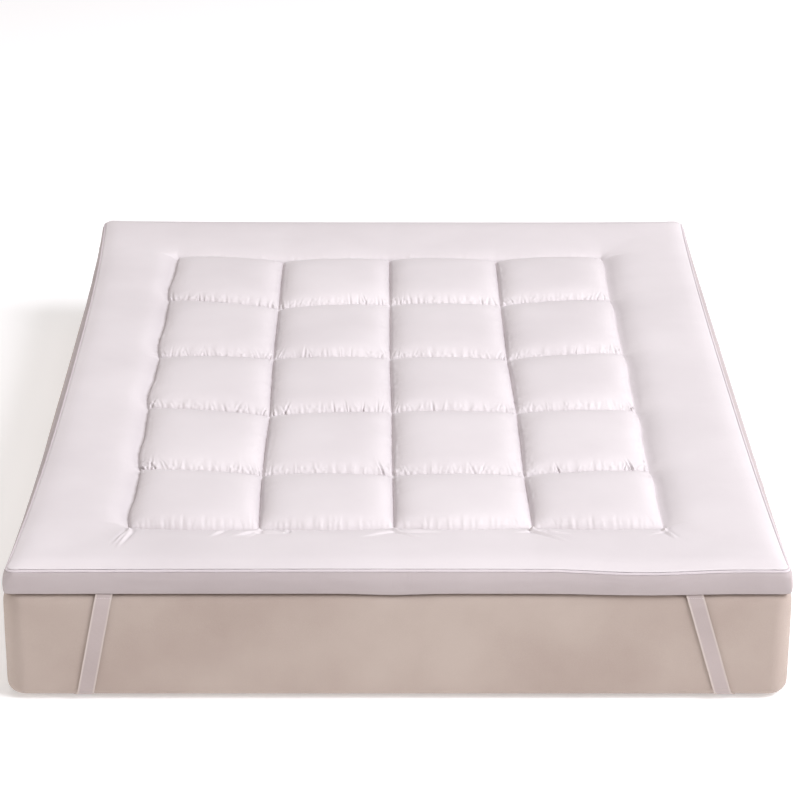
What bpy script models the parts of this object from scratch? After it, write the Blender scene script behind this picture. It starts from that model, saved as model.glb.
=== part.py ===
"""Quilted mattress topper, held by four elastic corner straps on the mattress that it covers.

Metres, +Z up. +Y runs from the foot of the bed to its head. The origin is on the surface under
the middle of the mattress.
"""

from math import cos, hypot, pi, radians, sin

import bmesh
import bpy
from mathutils import Vector

# Mattress: a soft block, fuller than the topper by a little more than a centimetre all round.
MATTRESS_HALF_WIDTH = 0.763
MATTRESS_HALF_LENGTH = 1.010
MATTRESS_HEIGHT = 0.224
MATTRESS_CORNER = 0.060
MATTRESS_INNER_CORNER = 0.020
CORNER_STEPS = 6
# Height of each level of the mattress wall, and how far it lies inside the widest level. The
# underside rises a little towards its rim, which leaves room for the straps.
MATTRESS_LEVELS = (
    (0.0000, 0.1400),
    (0.0023, 0.1150),
    (0.0030, 0.0400),
    (0.0065, 0.0140),
    (0.0150, 0.0035),
    (0.0300, 0.0000),
    (0.1300, 0.0000),
    (0.1750, 0.0010),
    (0.2000, 0.0060),
    (0.2140, 0.0140),
    (0.2215, 0.0240),
    (MATTRESS_HEIGHT, 0.0360),
)

# Topper: measured to the middle of the piping that runs round its top edge.
TOPPER_HALF_WIDTH = 0.747
TOPPER_HALF_LENGTH = 0.997
TOPPER_CORNER = 0.015
SIDE_DRAWN_IN = 0.008
END_DRAWN_IN = 0.003
PAD_BOTTOM = MATTRESS_HEIGHT + 0.0004
PIPING_HEIGHT = PAD_BOTTOM + 0.0486
PIPING_RADIUS = 0.0032
PIPING_SIDES = 8
PIPING_STEP = 0.0625
# The foot edge slumps a little right of its middle: where, how far each way, forwards and down.
SLUMP_PLACE = 0.470
SLUMP_REACH = 0.200
SLUMP_FORWARD = 0.005
SLUMP_DOWN = 0.004
# The cover dips round the piping: angle about the piping's middle, from straight outwards.
PIPING_SEAT = (radians(120), radians(180), radians(240))
PIPING_SEAT_RADIUS = PIPING_RADIUS + 0.0010
# Levels of the boxed wall under the piping: height above the topper's underside, and how far
# outside the piping it bulges at a corner and half way along a side.
WALL_LEVELS = (
    (0.0416, 0.0030, 0.0070),
    (0.0296, 0.0060, 0.0125),
    (0.0146, 0.0055, 0.0115),
    (0.0041, 0.0030, 0.0070),
    (0.0000, -0.0030, -0.0010),
)

# Quilting: where its seams cross. Each row is a seam across the bed, from the foot up, and holds
# its crossing with each seam along the bed, from the left: (place across, distance from the foot).
SEAM_CROSSINGS = (
    ((-0.533, 0.210), (-0.275, 0.204), (-0.007, 0.208), (0.269, 0.211), (0.531, 0.211)),
    ((-0.536, 0.482), (-0.279, 0.453), (-0.008, 0.451), (0.264, 0.451), (0.527, 0.477)),
    ((-0.546, 0.803), (-0.275, 0.759), (-0.009, 0.780), (0.264, 0.778), (0.527, 0.789)),
    ((-0.545, 1.094), (-0.279, 1.085), (-0.012, 1.089), (0.257, 1.080), (0.527, 1.120)),
    ((-0.549, 1.459), (-0.278, 1.400), (-0.011, 1.427), (0.256, 1.423), (0.525, 1.462)),
    ((-0.547, 1.760), (-0.278, 1.728), (-0.011, 1.742), (0.257, 1.736), (0.525, 1.758)),
)
LONG_SEAM_COUNT = len(SEAM_CROSSINGS[0])
CROSS_SEAM_COUNT = len(SEAM_CROSSINGS)
# The filled cells bulge towards the foot, and bow the seams across the bed with them.
FOOT_SEAM_BOW = 0.014
CROSS_SEAM_BOW = 0.007
CROSSING_HEIGHT = PAD_BOTTOM + 0.0380
SEAM_LIFT = 0.0035
CELL_CROWN = 0.0270
CELL_CROWN_VARIES = 0.0015
CELL_FULLNESS = 0.50
BORDER_CROWN = 0.0140
BORDER_FULLNESS = 0.70
BORDER_MITRE = 6
PANEL_STEPS = 8

# Elastic straps: one loop under each corner of the mattress.
STRAP_WIDTH = 0.032
STRAP_THICKNESS = 0.0015
# The strap's middle from under the topper's edge down the wall and round to the underside:
# how far outside the mattress's widest level, and its height.
STRAP_FALL = (
    (-0.0205, 0.2232),
    (-0.0145, 0.2185),
    (-0.0095, 0.2120),
    (-0.0035, 0.1990),
    (0.0002, 0.1780),
    (0.0013, 0.1550),
    (0.0013, 0.0930),
    (0.0013, 0.0310),
    (0.0001, 0.0215),
    (-0.0022, 0.0143),
    (-0.0079, 0.0097),
    (-0.0135, 0.0056),
    (-0.0245, 0.0031),
    (-0.0360, 0.0016),
    (-0.0480, 0.00105),
)
STRAP_TURN_HEIGHT = 0.035
# Each strap: which way its corner lies, then how far from that corner it starts under the
# topper and reaches the underside, first on the end wall and then on the side wall.
STRAPS = {
    "strap_foot_left": (-1, -1, (0.201, 0.155), (0.200, 0.152)),
    "strap_foot_right": (1, -1, (0.195, 0.132), (0.200, 0.136)),
    "strap_head_left": (-1, 1, (0.200, 0.150), (0.200, 0.150)),
    "strap_head_right": (1, 1, (0.200, 0.150), (0.200, 0.150)),
}

WHITE_COVER = ("topper cover", (0.84, 0.80, 0.83), 0.85)
WHITE_PIPING = ("topper piping", (0.86, 0.82, 0.85), 0.80)
ELASTIC = ("strap elastic", (0.62, 0.58, 0.60), 0.75)
TAUPE_CLOTH = ("mattress cloth", (0.56, 0.48, 0.42), 0.90)


def clear_scene():
    for thing in list(bpy.data.objects):
        bpy.data.objects.remove(thing)


def plain_material(name, colour, roughness):
    material = bpy.data.materials.new(name)
    material.use_nodes = True
    shader = material.node_tree.nodes["Principled BSDF"]
    shader.inputs["Base Color"].default_value = (*colour, 1.0)
    shader.inputs["Roughness"].default_value = roughness
    return material


def solid_object(name, bm, material):
    """Turns the finished bmesh into an object of the scene, with its faces pointing out."""
    bmesh.ops.recalc_face_normals(bm, faces=bm.faces)
    mesh = bpy.data.meshes.new(name)
    bm.to_mesh(mesh)
    bm.free()
    thing = bpy.data.objects.new(name, mesh)
    bpy.context.scene.collection.objects.link(thing)
    mesh.materials.append(plain_material(*material))
    mesh.shade_smooth()
    mesh.set_sharp_from_angle(angle=radians(40))
    return thing


def skin_between(bm, ring, next_ring):
    """Faces from each ring of vertices to the next, both closed and of one length."""
    for i in range(len(ring)):
        bm.faces.new((ring[i - 1], ring[i], next_ring[i], next_ring[i - 1]))


def rounded_outline(half_x, half_y, radius):
    """Points round a rectangle with round corners."""
    points = []
    for sign_x, sign_y, start in ((1, 1, 0), (-1, 1, 90), (-1, -1, 180), (1, -1, 270)):
        for i in range(CORNER_STEPS + 1):
            angle = radians(start + 90 * i / CORNER_STEPS)
            x = sign_x * (half_x - radius) + radius * cos(angle)
            y = sign_y * (half_y - radius) + radius * sin(angle)
            points.append((x, y))
    return points


def make_mattress():
    bm = bmesh.new()
    rings = []
    for height, inset in MATTRESS_LEVELS:
        corner = max(MATTRESS_CORNER - inset, MATTRESS_INNER_CORNER)
        outline = rounded_outline(MATTRESS_HALF_WIDTH - inset, MATTRESS_HALF_LENGTH - inset, corner)
        rings.append([bm.verts.new((x, y, height)) for x, y in outline])
    for ring, next_ring in zip(rings, rings[1:]):
        skin_between(bm, ring, next_ring)
    bm.faces.new(rings[0])
    bm.faces.new(rings[-1])
    return solid_object("mattress", bm, TAUPE_CLOTH)


def draw_in(x, y):
    """Where a point of the flat-cut topper lies once its filled sides pull in between corners."""
    pull_x = SIDE_DRAWN_IN * cos(pi * y / (2 * TOPPER_HALF_LENGTH))
    pull_y = END_DRAWN_IN * cos(pi * x / (2 * TOPPER_HALF_WIDTH))
    across = x / TOPPER_HALF_WIDTH
    along = y / TOPPER_HALF_LENGTH
    return x - pull_x * across**3, y - pull_y * along**3


def edge_point(x, y):
    """The piping's middle and its outward direction, for a point on the flat-cut rectangle."""
    from_side = TOPPER_HALF_WIDTH - abs(x)
    from_end = TOPPER_HALF_LENGTH - abs(y)
    to_right = 1 if x > 0 else -1
    to_head = 1 if y > 0 else -1
    on_side = from_side < from_end
    if max(from_side, from_end) > TOPPER_CORNER:
        outward = Vector((to_right, 0, 0)) if on_side else Vector((0, to_head, 0))
    else:
        turn = radians(45) * max(from_side, from_end) / TOPPER_CORNER
        angle = radians(45) - turn if on_side else radians(45) + turn
        outward = Vector((to_right * cos(angle), to_head * sin(angle), 0))
        x = to_right * (TOPPER_HALF_WIDTH - TOPPER_CORNER) + TOPPER_CORNER * outward.x
        y = to_head * (TOPPER_HALF_LENGTH - TOPPER_CORNER) + TOPPER_CORNER * outward.y
    x, y = draw_in(x, y)
    middle = Vector((x, y, PIPING_HEIGHT))
    if outward.y < 0:
        middle += foot_slump(x)
    return middle, outward


def foot_slump(x):
    """How far the foot edge has slumped at a place across it."""
    away = min(abs(x - SLUMP_PLACE) / SLUMP_REACH, 1.0)
    return Vector((0, -SLUMP_FORWARD, -SLUMP_DOWN)) * (1 + cos(pi * away)) / 2


def panel_corners():
    """Corners of the grid of panels, edges included: corners[column][row] is (x, y), flat-cut."""
    corners = []
    for column in range(LONG_SEAM_COUNT + 2):
        seam = min(max(column - 1, 0), LONG_SEAM_COUNT - 1)
        places = [row[seam] for row in SEAM_CROSSINGS]
        if column == 0:
            places = [(-TOPPER_HALF_WIDTH, distance) for _, distance in places]
        if column == LONG_SEAM_COUNT + 1:
            places = [(TOPPER_HALF_WIDTH, distance) for _, distance in places]
        foot = (places[0][0], -TOPPER_HALF_LENGTH)
        head = (places[-1][0], TOPPER_HALF_LENGTH)
        middle = [(x, distance - TOPPER_HALF_LENGTH) for x, distance in places]
        corners.append([foot, *middle, head])
    return corners


def seam_bow(column, row, u):
    """How far towards the foot the seam at the foot of a row lies, a share u across a column."""
    inside = 0 < column < LONG_SEAM_COUNT and 0 < row <= CROSS_SEAM_COUNT
    if not inside:
        return 0.0
    return (FOOT_SEAM_BOW if row == 1 else CROSS_SEAM_BOW) * arch(u, 1)


def plan_point(corners, column, row, u, v):
    """The flat-cut place of a point at share u across and v along one panel of the grid."""
    near_left, near_right = corners[column][row], corners[column + 1][row]
    far_left, far_right = corners[column][row + 1], corners[column + 1][row + 1]
    near_x = near_left[0] + (near_right[0] - near_left[0]) * u
    far_x = far_left[0] + (far_right[0] - far_left[0]) * u
    near_y = near_left[1] + (near_right[1] - near_left[1]) * u - seam_bow(column, row, u)
    far_y = far_left[1] + (far_right[1] - far_left[1]) * u - seam_bow(column, row + 1, u)
    return near_x + (far_x - near_x) * v, near_y + (far_y - near_y) * v


def arch(share, fullness):
    """Height share of a filled channel, 0 at its two seams and 1 half way between."""
    return max(sin(pi * share), 0.0) ** fullness


def cell_height(column, row, u, v):
    """Height of the cover over one quilted cell, which is lowest where four seams cross."""
    lift = SEAM_LIFT * (1 - (1 - arch(u, 1)) * (1 - arch(v, 1)))
    crown = CELL_CROWN + CELL_CROWN_VARIES * sin(2.3 * column + 4.1 * row)
    return CROSSING_HEIGHT + lift + crown * arch(u, CELL_FULLNESS) * arch(v, CELL_FULLNESS)


def border_height(from_edge, along_seam):
    """Height of the cover over the border, at a share of the way from the edge to the quilting."""
    edge_height = PIPING_HEIGHT + PIPING_SEAT_RADIUS * sin(PIPING_SEAT[0])
    seam_height = CROSSING_HEIGHT + SEAM_LIFT * arch(along_seam, 1)
    ground = edge_height + (seam_height - edge_height) * from_edge
    return ground + BORDER_CROWN * arch(from_edge, BORDER_FULLNESS)


def top_height(column, row, u, v):
    """Height of the cover at a share u across and v along one panel of the grid."""
    last_column, last_row = LONG_SEAM_COUNT, CROSS_SEAM_COUNT
    from_side = u if column == 0 else 1 - u if column == last_column else None
    from_end = v if row == 0 else 1 - v if row == last_row else None
    if from_side is None and from_end is None:
        return cell_height(column, row, u, v)
    if from_side is None:
        return border_height(from_end, u)
    if from_end is None:
        return border_height(from_side, v)
    short_side = ((1 - from_side) ** BORDER_MITRE + (1 - from_end) ** BORDER_MITRE) ** (1 / BORDER_MITRE)
    return border_height(max(1 - short_side, 0.0), 0.0)


def panel_lines(panels):
    """(panel, share) of every grid line, closer together towards the seams."""
    lines = []
    for panel in range(panels):
        for step in range(PANEL_STEPS):
            lines.append((panel, (1 - cos(pi * step / PANEL_STEPS)) / 2))
    lines.append((panels - 1, 1.0))
    return lines


def grid_rim(grid):
    """The grid's outer vertices in order round it."""
    first, last = grid[0], grid[-1]
    rim = list(first[:-1])
    rim += [line[-1] for line in grid[:-1]]
    rim += last[:0:-1]
    rim += [line[0] for line in grid[:0:-1]]
    return rim


def make_topper_pad():
    bm = bmesh.new()
    corners = panel_corners()
    across = panel_lines(LONG_SEAM_COUNT + 1)
    along = panel_lines(CROSS_SEAM_COUNT + 1)
    flat_places = {}
    grid = []
    for column, u in across:
        line = []
        for row, v in along:
            x, y = plan_point(corners, column, row, u, v)
            place = Vector((*draw_in(x, y), top_height(column, row, u, v)))
            if row == 0:
                place += foot_slump(place.x) * (1 - v)
            vert = bm.verts.new(place)
            flat_places[vert] = (x, y)
            line.append(vert)
        grid.append(line)
    for line, next_line in zip(grid, grid[1:]):
        for i in range(len(line) - 1):
            bm.faces.new((line[i], next_line[i], next_line[i + 1], line[i + 1]))

    rim = grid_rim(grid)
    edge_points = [edge_point(*flat_places[vert]) for vert in rim]
    for vert, (middle, outward) in zip(rim, edge_points):
        seat = outward * cos(PIPING_SEAT[0]) + Vector((0, 0, sin(PIPING_SEAT[0])))
        vert.co = middle + seat * PIPING_SEAT_RADIUS
    rings = [rim]
    for angle in PIPING_SEAT[1:]:
        ring = []
        for middle, outward in edge_points:
            seat = outward * cos(angle) + Vector((0, 0, sin(angle)))
            ring.append(bm.verts.new(middle + seat * PIPING_SEAT_RADIUS))
        rings.append(ring)
    for height, corner_bulge, side_bulge in WALL_LEVELS:
        ring = []
        for middle, outward in edge_points:
            from_middle = max(
                abs(middle.x) / TOPPER_HALF_WIDTH * abs(outward.y),
                abs(middle.y) / TOPPER_HALF_LENGTH * abs(outward.x),
            )
            bulge = side_bulge + (corner_bulge - side_bulge) * min(from_middle, 1.0) ** 2
            place = middle + outward * bulge
            place.z = PAD_BOTTOM + height
            ring.append(bm.verts.new(place))
        rings.append(ring)
    for ring, next_ring in zip(rings, rings[1:]):
        skin_between(bm, ring, next_ring)
    underside = bm.faces.new(rings[-1])
    bmesh.ops.poke(bm, faces=[underside])
    return solid_object("topper_pad", bm, WHITE_COVER)


def edge_walk():
    """Points of the flat-cut rectangle in order round it, closer together round its corners."""
    turn = [TOPPER_CORNER, TOPPER_CORNER / 2, 0]
    half_x, half_y = TOPPER_HALF_WIDTH, TOPPER_HALF_LENGTH

    def side(half):
        straight = half - TOPPER_CORNER
        count = round(2 * straight / PIPING_STEP)
        places = [-half + inset for inset in turn[::-1]]
        places += [-straight + 2 * straight * i / count for i in range(1, count)]
        return places + [half - inset for inset in turn[:-1]]

    walk = [(half_x, y) for y in side(half_y)]
    walk += [(-x, half_y) for x in side(half_x)]
    walk += [(-half_x, -y) for y in side(half_y)]
    walk += [(x, -half_y) for x in side(half_x)]
    return walk


def make_piping():
    bm = bmesh.new()
    rings = []
    for x, y in edge_walk():
        middle, outward = edge_point(x, y)
        ring = []
        for i in range(PIPING_SIDES):
            angle = 2 * pi * i / PIPING_SIDES
            place = middle + PIPING_RADIUS * (outward * cos(angle) + Vector((0, 0, sin(angle))))
            ring.append(bm.verts.new(place))
        rings.append(ring)
    for i in range(len(rings)):
        skin_between(bm, rings[i - 1], rings[i])
    return solid_object("topper_piping", bm, WHITE_PIPING)


def strap_wall(top_distance, bottom_distance):
    """The strap down one wall and round to the underside, which it reaches at 45 degrees.

    Each row is the distance of its two edges from the mattress's corner, how far outside the
    widest level and how high its middle lies, and the two parts of its outward normal.
    """
    lengths = [0.0]
    for (out, height), (next_out, next_height) in zip(STRAP_FALL, STRAP_FALL[1:]):
        lengths.append(lengths[-1] + hypot(next_out - out, next_height - height))
    lean = (top_distance - bottom_distance) / lengths[-1]
    turn_start = next(
        length for length, (_, height) in zip(lengths, STRAP_FALL) if height < STRAP_TURN_HEIGHT
    )
    turn_length = lengths[-1] - turn_start
    rows = []
    for i, (out, height) in enumerate(STRAP_FALL):
        turned = max(lengths[i] - turn_start, 0.0) / turn_length
        slope = lean + (1 - lean) * turned
        middle = top_distance - lean * lengths[i] - (1 - lean) * turn_length * turned**2 / 2
        half = STRAP_WIDTH / 2 * hypot(1, slope)
        before = STRAP_FALL[max(i - 1, 0)]
        after = STRAP_FALL[min(i + 1, len(STRAP_FALL) - 1)]
        fall = Vector((after[0] - before[0], after[1] - before[1])).normalized()
        away, up = (-fall.y, fall.x) if turned < 1 else (0.0, -1.0)
        rows.append((middle - half, middle + half, out, height, away, up))
    return rows


def strap_sections(to_right, to_head, end_wall, side_wall):
    """Four corners of each section of a strap, from the end wall, under the corner, to the side."""
    half = STRAP_THICKNESS / 2
    end_sections = []
    for *edges, out, height, away, up in strap_wall(*end_wall):
        normal = Vector((0, to_head * away, up)) * half
        y = to_head * (MATTRESS_HALF_LENGTH + out)
        near, far = (Vector((to_right * (MATTRESS_HALF_WIDTH - edge), y, height)) for edge in edges)
        end_sections.append((near + normal, far + normal, far - normal, near - normal))
    side_sections = []
    for *edges, out, height, away, up in strap_wall(*side_wall):
        normal = Vector((to_right * away, 0, up)) * half
        x = to_right * (MATTRESS_HALF_WIDTH + out)
        near, far = (Vector((x, to_head * (MATTRESS_HALF_LENGTH - edge), height)) for edge in edges)
        side_sections.append((near + normal, far + normal, far - normal, near - normal))
    return end_sections + side_sections[::-1]


def make_strap(name, sections):
    bm = bmesh.new()
    rings = [[bm.verts.new(corner) for corner in section] for section in sections]
    for ring, next_ring in zip(rings, rings[1:]):
        skin_between(bm, ring, next_ring)
    bm.faces.new(rings[0])
    bm.faces.new(rings[-1])
    return solid_object(name, bm, ELASTIC)


def main():
    clear_scene()
    make_mattress()
    make_topper_pad()
    make_piping()
    for name, (to_right, to_head, end_wall, side_wall) in STRAPS.items():
        make_strap(name, strap_sections(to_right, to_head, end_wall, side_wall))


main()
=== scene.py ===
"""The finished look of a quilted mattress topper, strapped to the mattress that it lies on.

Metres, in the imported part's frame: +Y runs from the foot of the bed to its head, +Z is up.
"""

from math import cos, hypot, pi, radians, sin

import bpy
import numpy as np
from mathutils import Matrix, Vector, noise


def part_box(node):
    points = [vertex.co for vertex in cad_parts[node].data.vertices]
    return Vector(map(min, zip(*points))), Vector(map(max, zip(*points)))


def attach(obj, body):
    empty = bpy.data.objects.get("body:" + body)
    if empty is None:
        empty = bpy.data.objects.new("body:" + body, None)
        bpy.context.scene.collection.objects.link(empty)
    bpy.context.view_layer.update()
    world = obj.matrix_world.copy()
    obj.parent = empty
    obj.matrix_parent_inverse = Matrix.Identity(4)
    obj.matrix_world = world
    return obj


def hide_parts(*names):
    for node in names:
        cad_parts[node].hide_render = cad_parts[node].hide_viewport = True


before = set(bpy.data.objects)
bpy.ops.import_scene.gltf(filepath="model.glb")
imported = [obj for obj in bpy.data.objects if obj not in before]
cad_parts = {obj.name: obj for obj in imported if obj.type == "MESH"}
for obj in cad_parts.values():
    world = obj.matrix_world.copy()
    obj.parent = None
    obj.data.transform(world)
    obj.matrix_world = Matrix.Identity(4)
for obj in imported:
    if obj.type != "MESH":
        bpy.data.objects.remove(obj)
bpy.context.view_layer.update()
bpy.ops.object.select_all(action="DESELECT")

# --------------------------------------------------------------------------------------------
# Sizes. The outer ones come from the frame, and the rest are the maker's own.
# --------------------------------------------------------------------------------------------
_, mattress_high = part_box("mattress")
pad_low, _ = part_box("topper_pad")
_, piping_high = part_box("topper_piping")

MATTRESS_HALF_WIDTH = mattress_high.x
MATTRESS_HALF_LENGTH = mattress_high.y
MATTRESS_HEIGHT = mattress_high.z
MATTRESS_CORNER = 0.042
MATTRESS_INNER_CORNER = 0.020
# Height of each level of the mattress wall, and how far it lies inside the widest level.
MATTRESS_LEVELS = (
    (0.0000, 0.1400),
    (0.0023, 0.1150),
    (0.0030, 0.0400),
    (0.0065, 0.0140),
    (0.0150, 0.0035),
    (0.0300, 0.0000),
    (0.0800, 0.0000),
    (0.1300, 0.0000),
    (0.1750, 0.0004),
    (0.2000, 0.0011),
    (0.2120, 0.0030),
    (0.2185, 0.0062),
    (0.2215, 0.0100),
    (0.2230, 0.0150),
    (0.2236, 0.0220),
    (MATTRESS_HEIGHT, 0.0340),
)

PIPING_RADIUS = 0.0032
# The topper's corners stand a little further out than the solids' piping.
CORNERS_FURTHER_OUT = 0.0035
TOPPER_HALF_WIDTH = piping_high.x - PIPING_RADIUS + CORNERS_FURTHER_OUT
TOPPER_HALF_LENGTH = piping_high.y - PIPING_RADIUS
TOPPER_CORNER = 0.015
# The filled sides and ends pull in between the corners. The powers say how soon that fades
# towards the corners, and from each edge to the bed's middle.
LEFT_DRAWN_IN = 0.023
RIGHT_DRAWN_IN = 0.0115
END_DRAWN_IN = 0.003
SIDE_FADE_POWER = 2.8
SIDE_PULL_POWER = 6
END_PULL_POWER = 3
PAD_BOTTOM = pad_low.z
PIPING_HEIGHT = piping_high.z - PIPING_RADIUS
# The cloth's seat round the piping's section, from the top panel's side round to the wall's.
PIPING_SEAT = tuple(radians(angle) for angle in (128, 170, 215, 260, 300, 335))
PIPING_GAP = 0.0005
PIPING_SEAT_RADIUS = PIPING_RADIUS + PIPING_GAP
# The foot edge slumps a little right of its middle: where, how far each way, forwards and down.
SLUMP_PLACE = 0.470
SLUMP_REACH = 0.200
SLUMP_FORWARD = 0.005
SLUMP_DOWN = 0.004
# The lower edge of the foot wall dips near its middle.
SAG_PLACE = -0.012
SAG_REACH = 0.065
SAG_DEPTH = 0.0028
# It is there only nearer the foot than this place along the bed.
SAG_END = -0.9
# Levels of the boxed wall under the piping: height above the topper's underside, and how far
# outside the piping it bulges at a corner, half way along an end and half way along a side.
WALL_LEVELS = (
    (0.0462, 0.0040, 0.0040, 0.0040),
    (0.0430, 0.0056, 0.0060, 0.0075),
    (0.0390, 0.0066, 0.0086, 0.0125),
    (0.0296, 0.0076, 0.0125, 0.0180),
    (0.0146, 0.0076, 0.0118, 0.0205),
    (0.0060, 0.0066, 0.0090, 0.0185),
    (0.0024, 0.0046, 0.0060, 0.0160),
    (0.0000, -0.0040, -0.0040, 0.0040),
)

# Quilting: where its seams cross. Each row is a seam across the bed, from the foot up, and holds
# its crossing with each seam along the bed, from the left: (place across, distance from the foot).
SEAM_CROSSINGS = (
    ((-0.533, 0.205), (-0.275, 0.199), (-0.007, 0.203), (0.269, 0.206), (0.531, 0.206)),
    ((-0.536, 0.482), (-0.279, 0.453), (-0.008, 0.451), (0.264, 0.451), (0.527, 0.477)),
    ((-0.546, 0.803), (-0.275, 0.759), (-0.009, 0.780), (0.264, 0.778), (0.527, 0.789)),
    ((-0.545, 1.094), (-0.279, 1.085), (-0.012, 1.089), (0.257, 1.080), (0.527, 1.120)),
    ((-0.549, 1.459), (-0.278, 1.400), (-0.011, 1.427), (0.256, 1.423), (0.525, 1.462)),
    ((-0.547, 1.760), (-0.278, 1.728), (-0.011, 1.742), (0.257, 1.736), (0.525, 1.758)),
)
LONG_SEAM_COUNT = len(SEAM_CROSSINGS[0])
CROSS_SEAM_COUNT = len(SEAM_CROSSINGS)
# How far a seam across the bed bows towards the foot between two crossings.
FOOT_SEAM_BOW = 0.014
CROSS_SEAM_BOW = 0.007
CROSSING_RISE = 0.0380
CROSSING_HEIGHT = PAD_BOTTOM + CROSSING_RISE
SEAM_LIFT = 0.0035
# How far the outer cells bulge over the long outer seams, and how soon that fades sideways.
LEFT_SCALLOP = 0.009
RIGHT_SCALLOP = 0.006
SCALLOP_POWER = 4
# How high the cloth is crowned before it is filled, and the power that shapes the crown: the
# lower, the fuller. The mitre is how sharply the border's crown turns at its corners.
CELL_CROWN = 0.0240
CELL_FULLNESS = 0.50
BORDER_CROWN = 0.0130
BORDER_FULLNESS = 0.70
BORDER_MITRE = 6

# How finely each cloth is divided: the step next to the seams, then the step between them. A
# third value is how many lines the foot border has over its creased stretch.
SEAM_ZONE = 0.036
EDGE_LINES = (0.0, 0.0014, 0.0028, 0.0044, 0.0062, 0.0085, 0.0115, 0.0155, 0.021, 0.028, SEAM_ZONE)
FILLING_CELL_STEP = 0.0055
FILLING_BORDER_STEP = 0.0080
CELL_STEPS_ACROSS = (0.0016, 0.0016)
CELL_STEPS_ALONG = (0.0028, 0.0075)
CREASE_ZONE = 0.110
BORDER_STEPS_ACROSS = (0.0028, 0.0044)
BORDER_STEPS_ALONG = (0.0038, 0.0095, 48)

UPWARD = np.array([0, 0, 1.0])

STRAP_WIDTH = 0.032
STRAP_THICKNESS = 0.0015
# The strap's middle from under the topper's edge down the wall and round to the underside:
# how far outside the mattress's widest level, and its height.
STRAP_FALL = (
    (-0.0086, 0.2262),
    (-0.0052, 0.2222),
    (-0.0024, 0.2172),
    (-0.0007, 0.2100),
    (0.0006, 0.1990),
    (0.0011, 0.1780),
    (0.0013, 0.1550),
    (0.0013, 0.0930),
    (0.0013, 0.0310),
    (0.0001, 0.0215),
    (-0.0022, 0.0143),
    (-0.0079, 0.0097),
    (-0.0135, 0.0056),
    (-0.0245, 0.0031),
    (-0.0360, 0.0016),
    (-0.0480, 0.00105),
)
# Below this height the strap turns under the mattress's corner.
STRAP_TURN_HEIGHT = 0.016
# Each strap: which way its corner lies, then how far from that corner it starts under the
# topper and reaches the underside, first on the end wall and then on the side wall.
STRAPS = {
    "strap_foot_left": (-1, -1, (0.200, 0.146), (0.200, 0.146)),
    "strap_foot_right": (1, -1, (0.194, 0.115), (0.200, 0.115)),
    "strap_head_left": (-1, 1, (0.200, 0.150), (0.200, 0.150)),
    "strap_head_right": (1, 1, (0.200, 0.150), (0.200, 0.150)),
}


# --------------------------------------------------------------------------------------------
# Small helpers
# --------------------------------------------------------------------------------------------
def arch(share, fullness=1.0):
    """0 at the two ends of a span and 1 half way, rounder as fullness falls."""
    return np.clip(np.sin(pi * np.asarray(share)), 0.0, None) ** fullness


def bell(offset, width):
    """1 at no offset, and next to nothing two widths away."""
    return np.exp(-((offset / width) ** 2))


def share_past(value, start, length):
    """0 up to the start, 1 from that length further on, and straight between."""
    return np.clip((value - start) / length, 0, 1)


def distances_along(line):
    """How far along a line of points each of them lies."""
    steps = np.linalg.norm(np.diff(line, axis=0), axis=1)
    return np.concatenate([[0], np.cumsum(steps)])


def smooth_line(points, per_span):
    """A smooth curve through the points, as an array with that many steps between each two."""
    points = np.array(points, float)
    before = np.vstack([2 * points[0] - points[1], points[:-1]])
    after = np.vstack([points[1:], 2 * points[-1] - points[-2]])
    slopes = (after - before) / 2
    line = []
    for i in range(len(points) - 1):
        for t in np.arange(per_span) / per_span:
            start = (1 + 2 * t) * (1 - t) ** 2 * points[i] + t * (1 - t) ** 2 * slopes[i]
            end = t * t * (3 - 2 * t) * points[i + 1] - t * t * (1 - t) * slopes[i + 1]
            line.append(start + end)
    return np.array([*line, points[-1]])


def piece_from(name, places, faces, flat=None, sharp=60):
    """A new piece from points and faces. flat is where each point lies on the cut cloth."""
    mesh = bpy.data.meshes.new(name)
    mesh.from_pydata(np.asarray(places, float).tolist(), [], faces)
    mesh.validate()
    if flat is not None:
        corners = np.empty(len(mesh.loops), np.int32)
        mesh.loops.foreach_get("vertex_index", corners)
        layer = mesh.uv_layers.new(name="cut")
        layer.data.foreach_set("uv", np.asarray(flat, np.float32)[corners].ravel())
    mesh.shade_smooth()
    mesh.set_sharp_from_angle(angle=radians(sharp))
    piece = bpy.data.objects.new(name, mesh)
    bpy.context.scene.collection.objects.link(piece)
    return piece


def ring_quads(ring, next_ring):
    """Faces between two closed rings of point numbers."""
    ring, next_ring = np.asarray(ring), np.asarray(next_ring)
    return np.stack([np.roll(ring, 1), ring, next_ring, np.roll(next_ring, 1)], -1).tolist()


def tube_quads(ring_count, side_count):
    """Faces of a tube whose rings of points are numbered one after the other."""
    faces = []
    for i in range(ring_count - 1):
        numbers = np.arange(i * side_count, (i + 1) * side_count)
        faces += ring_quads(numbers, numbers + side_count)
    return faces


def grid_quads(numbers):
    """Faces between the lines of a grid of point numbers, as an array [column, row, corner]."""
    return np.stack([numbers[:-1, :-1], numbers[1:, :-1], numbers[1:, 1:], numbers[:-1, 1:]], -1)


def rim_of(numbers):
    """A grid's outer point numbers in order round it."""
    return [*numbers[0, :-1], *numbers[:-1, -1], *numbers[-1, :0:-1], *numbers[:0:-1, 0]]


def renumbered(used, count):
    """The new number of each of count points, of which only the used ones are kept."""
    number_of = np.full(count, -1)
    number_of[used] = np.arange(len(used))
    return number_of


# --------------------------------------------------------------------------------------------
# Materials
# --------------------------------------------------------------------------------------------
SHEEN_ROUGHNESS = 0.4
SPECULAR_LEVEL = 0.25
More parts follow.
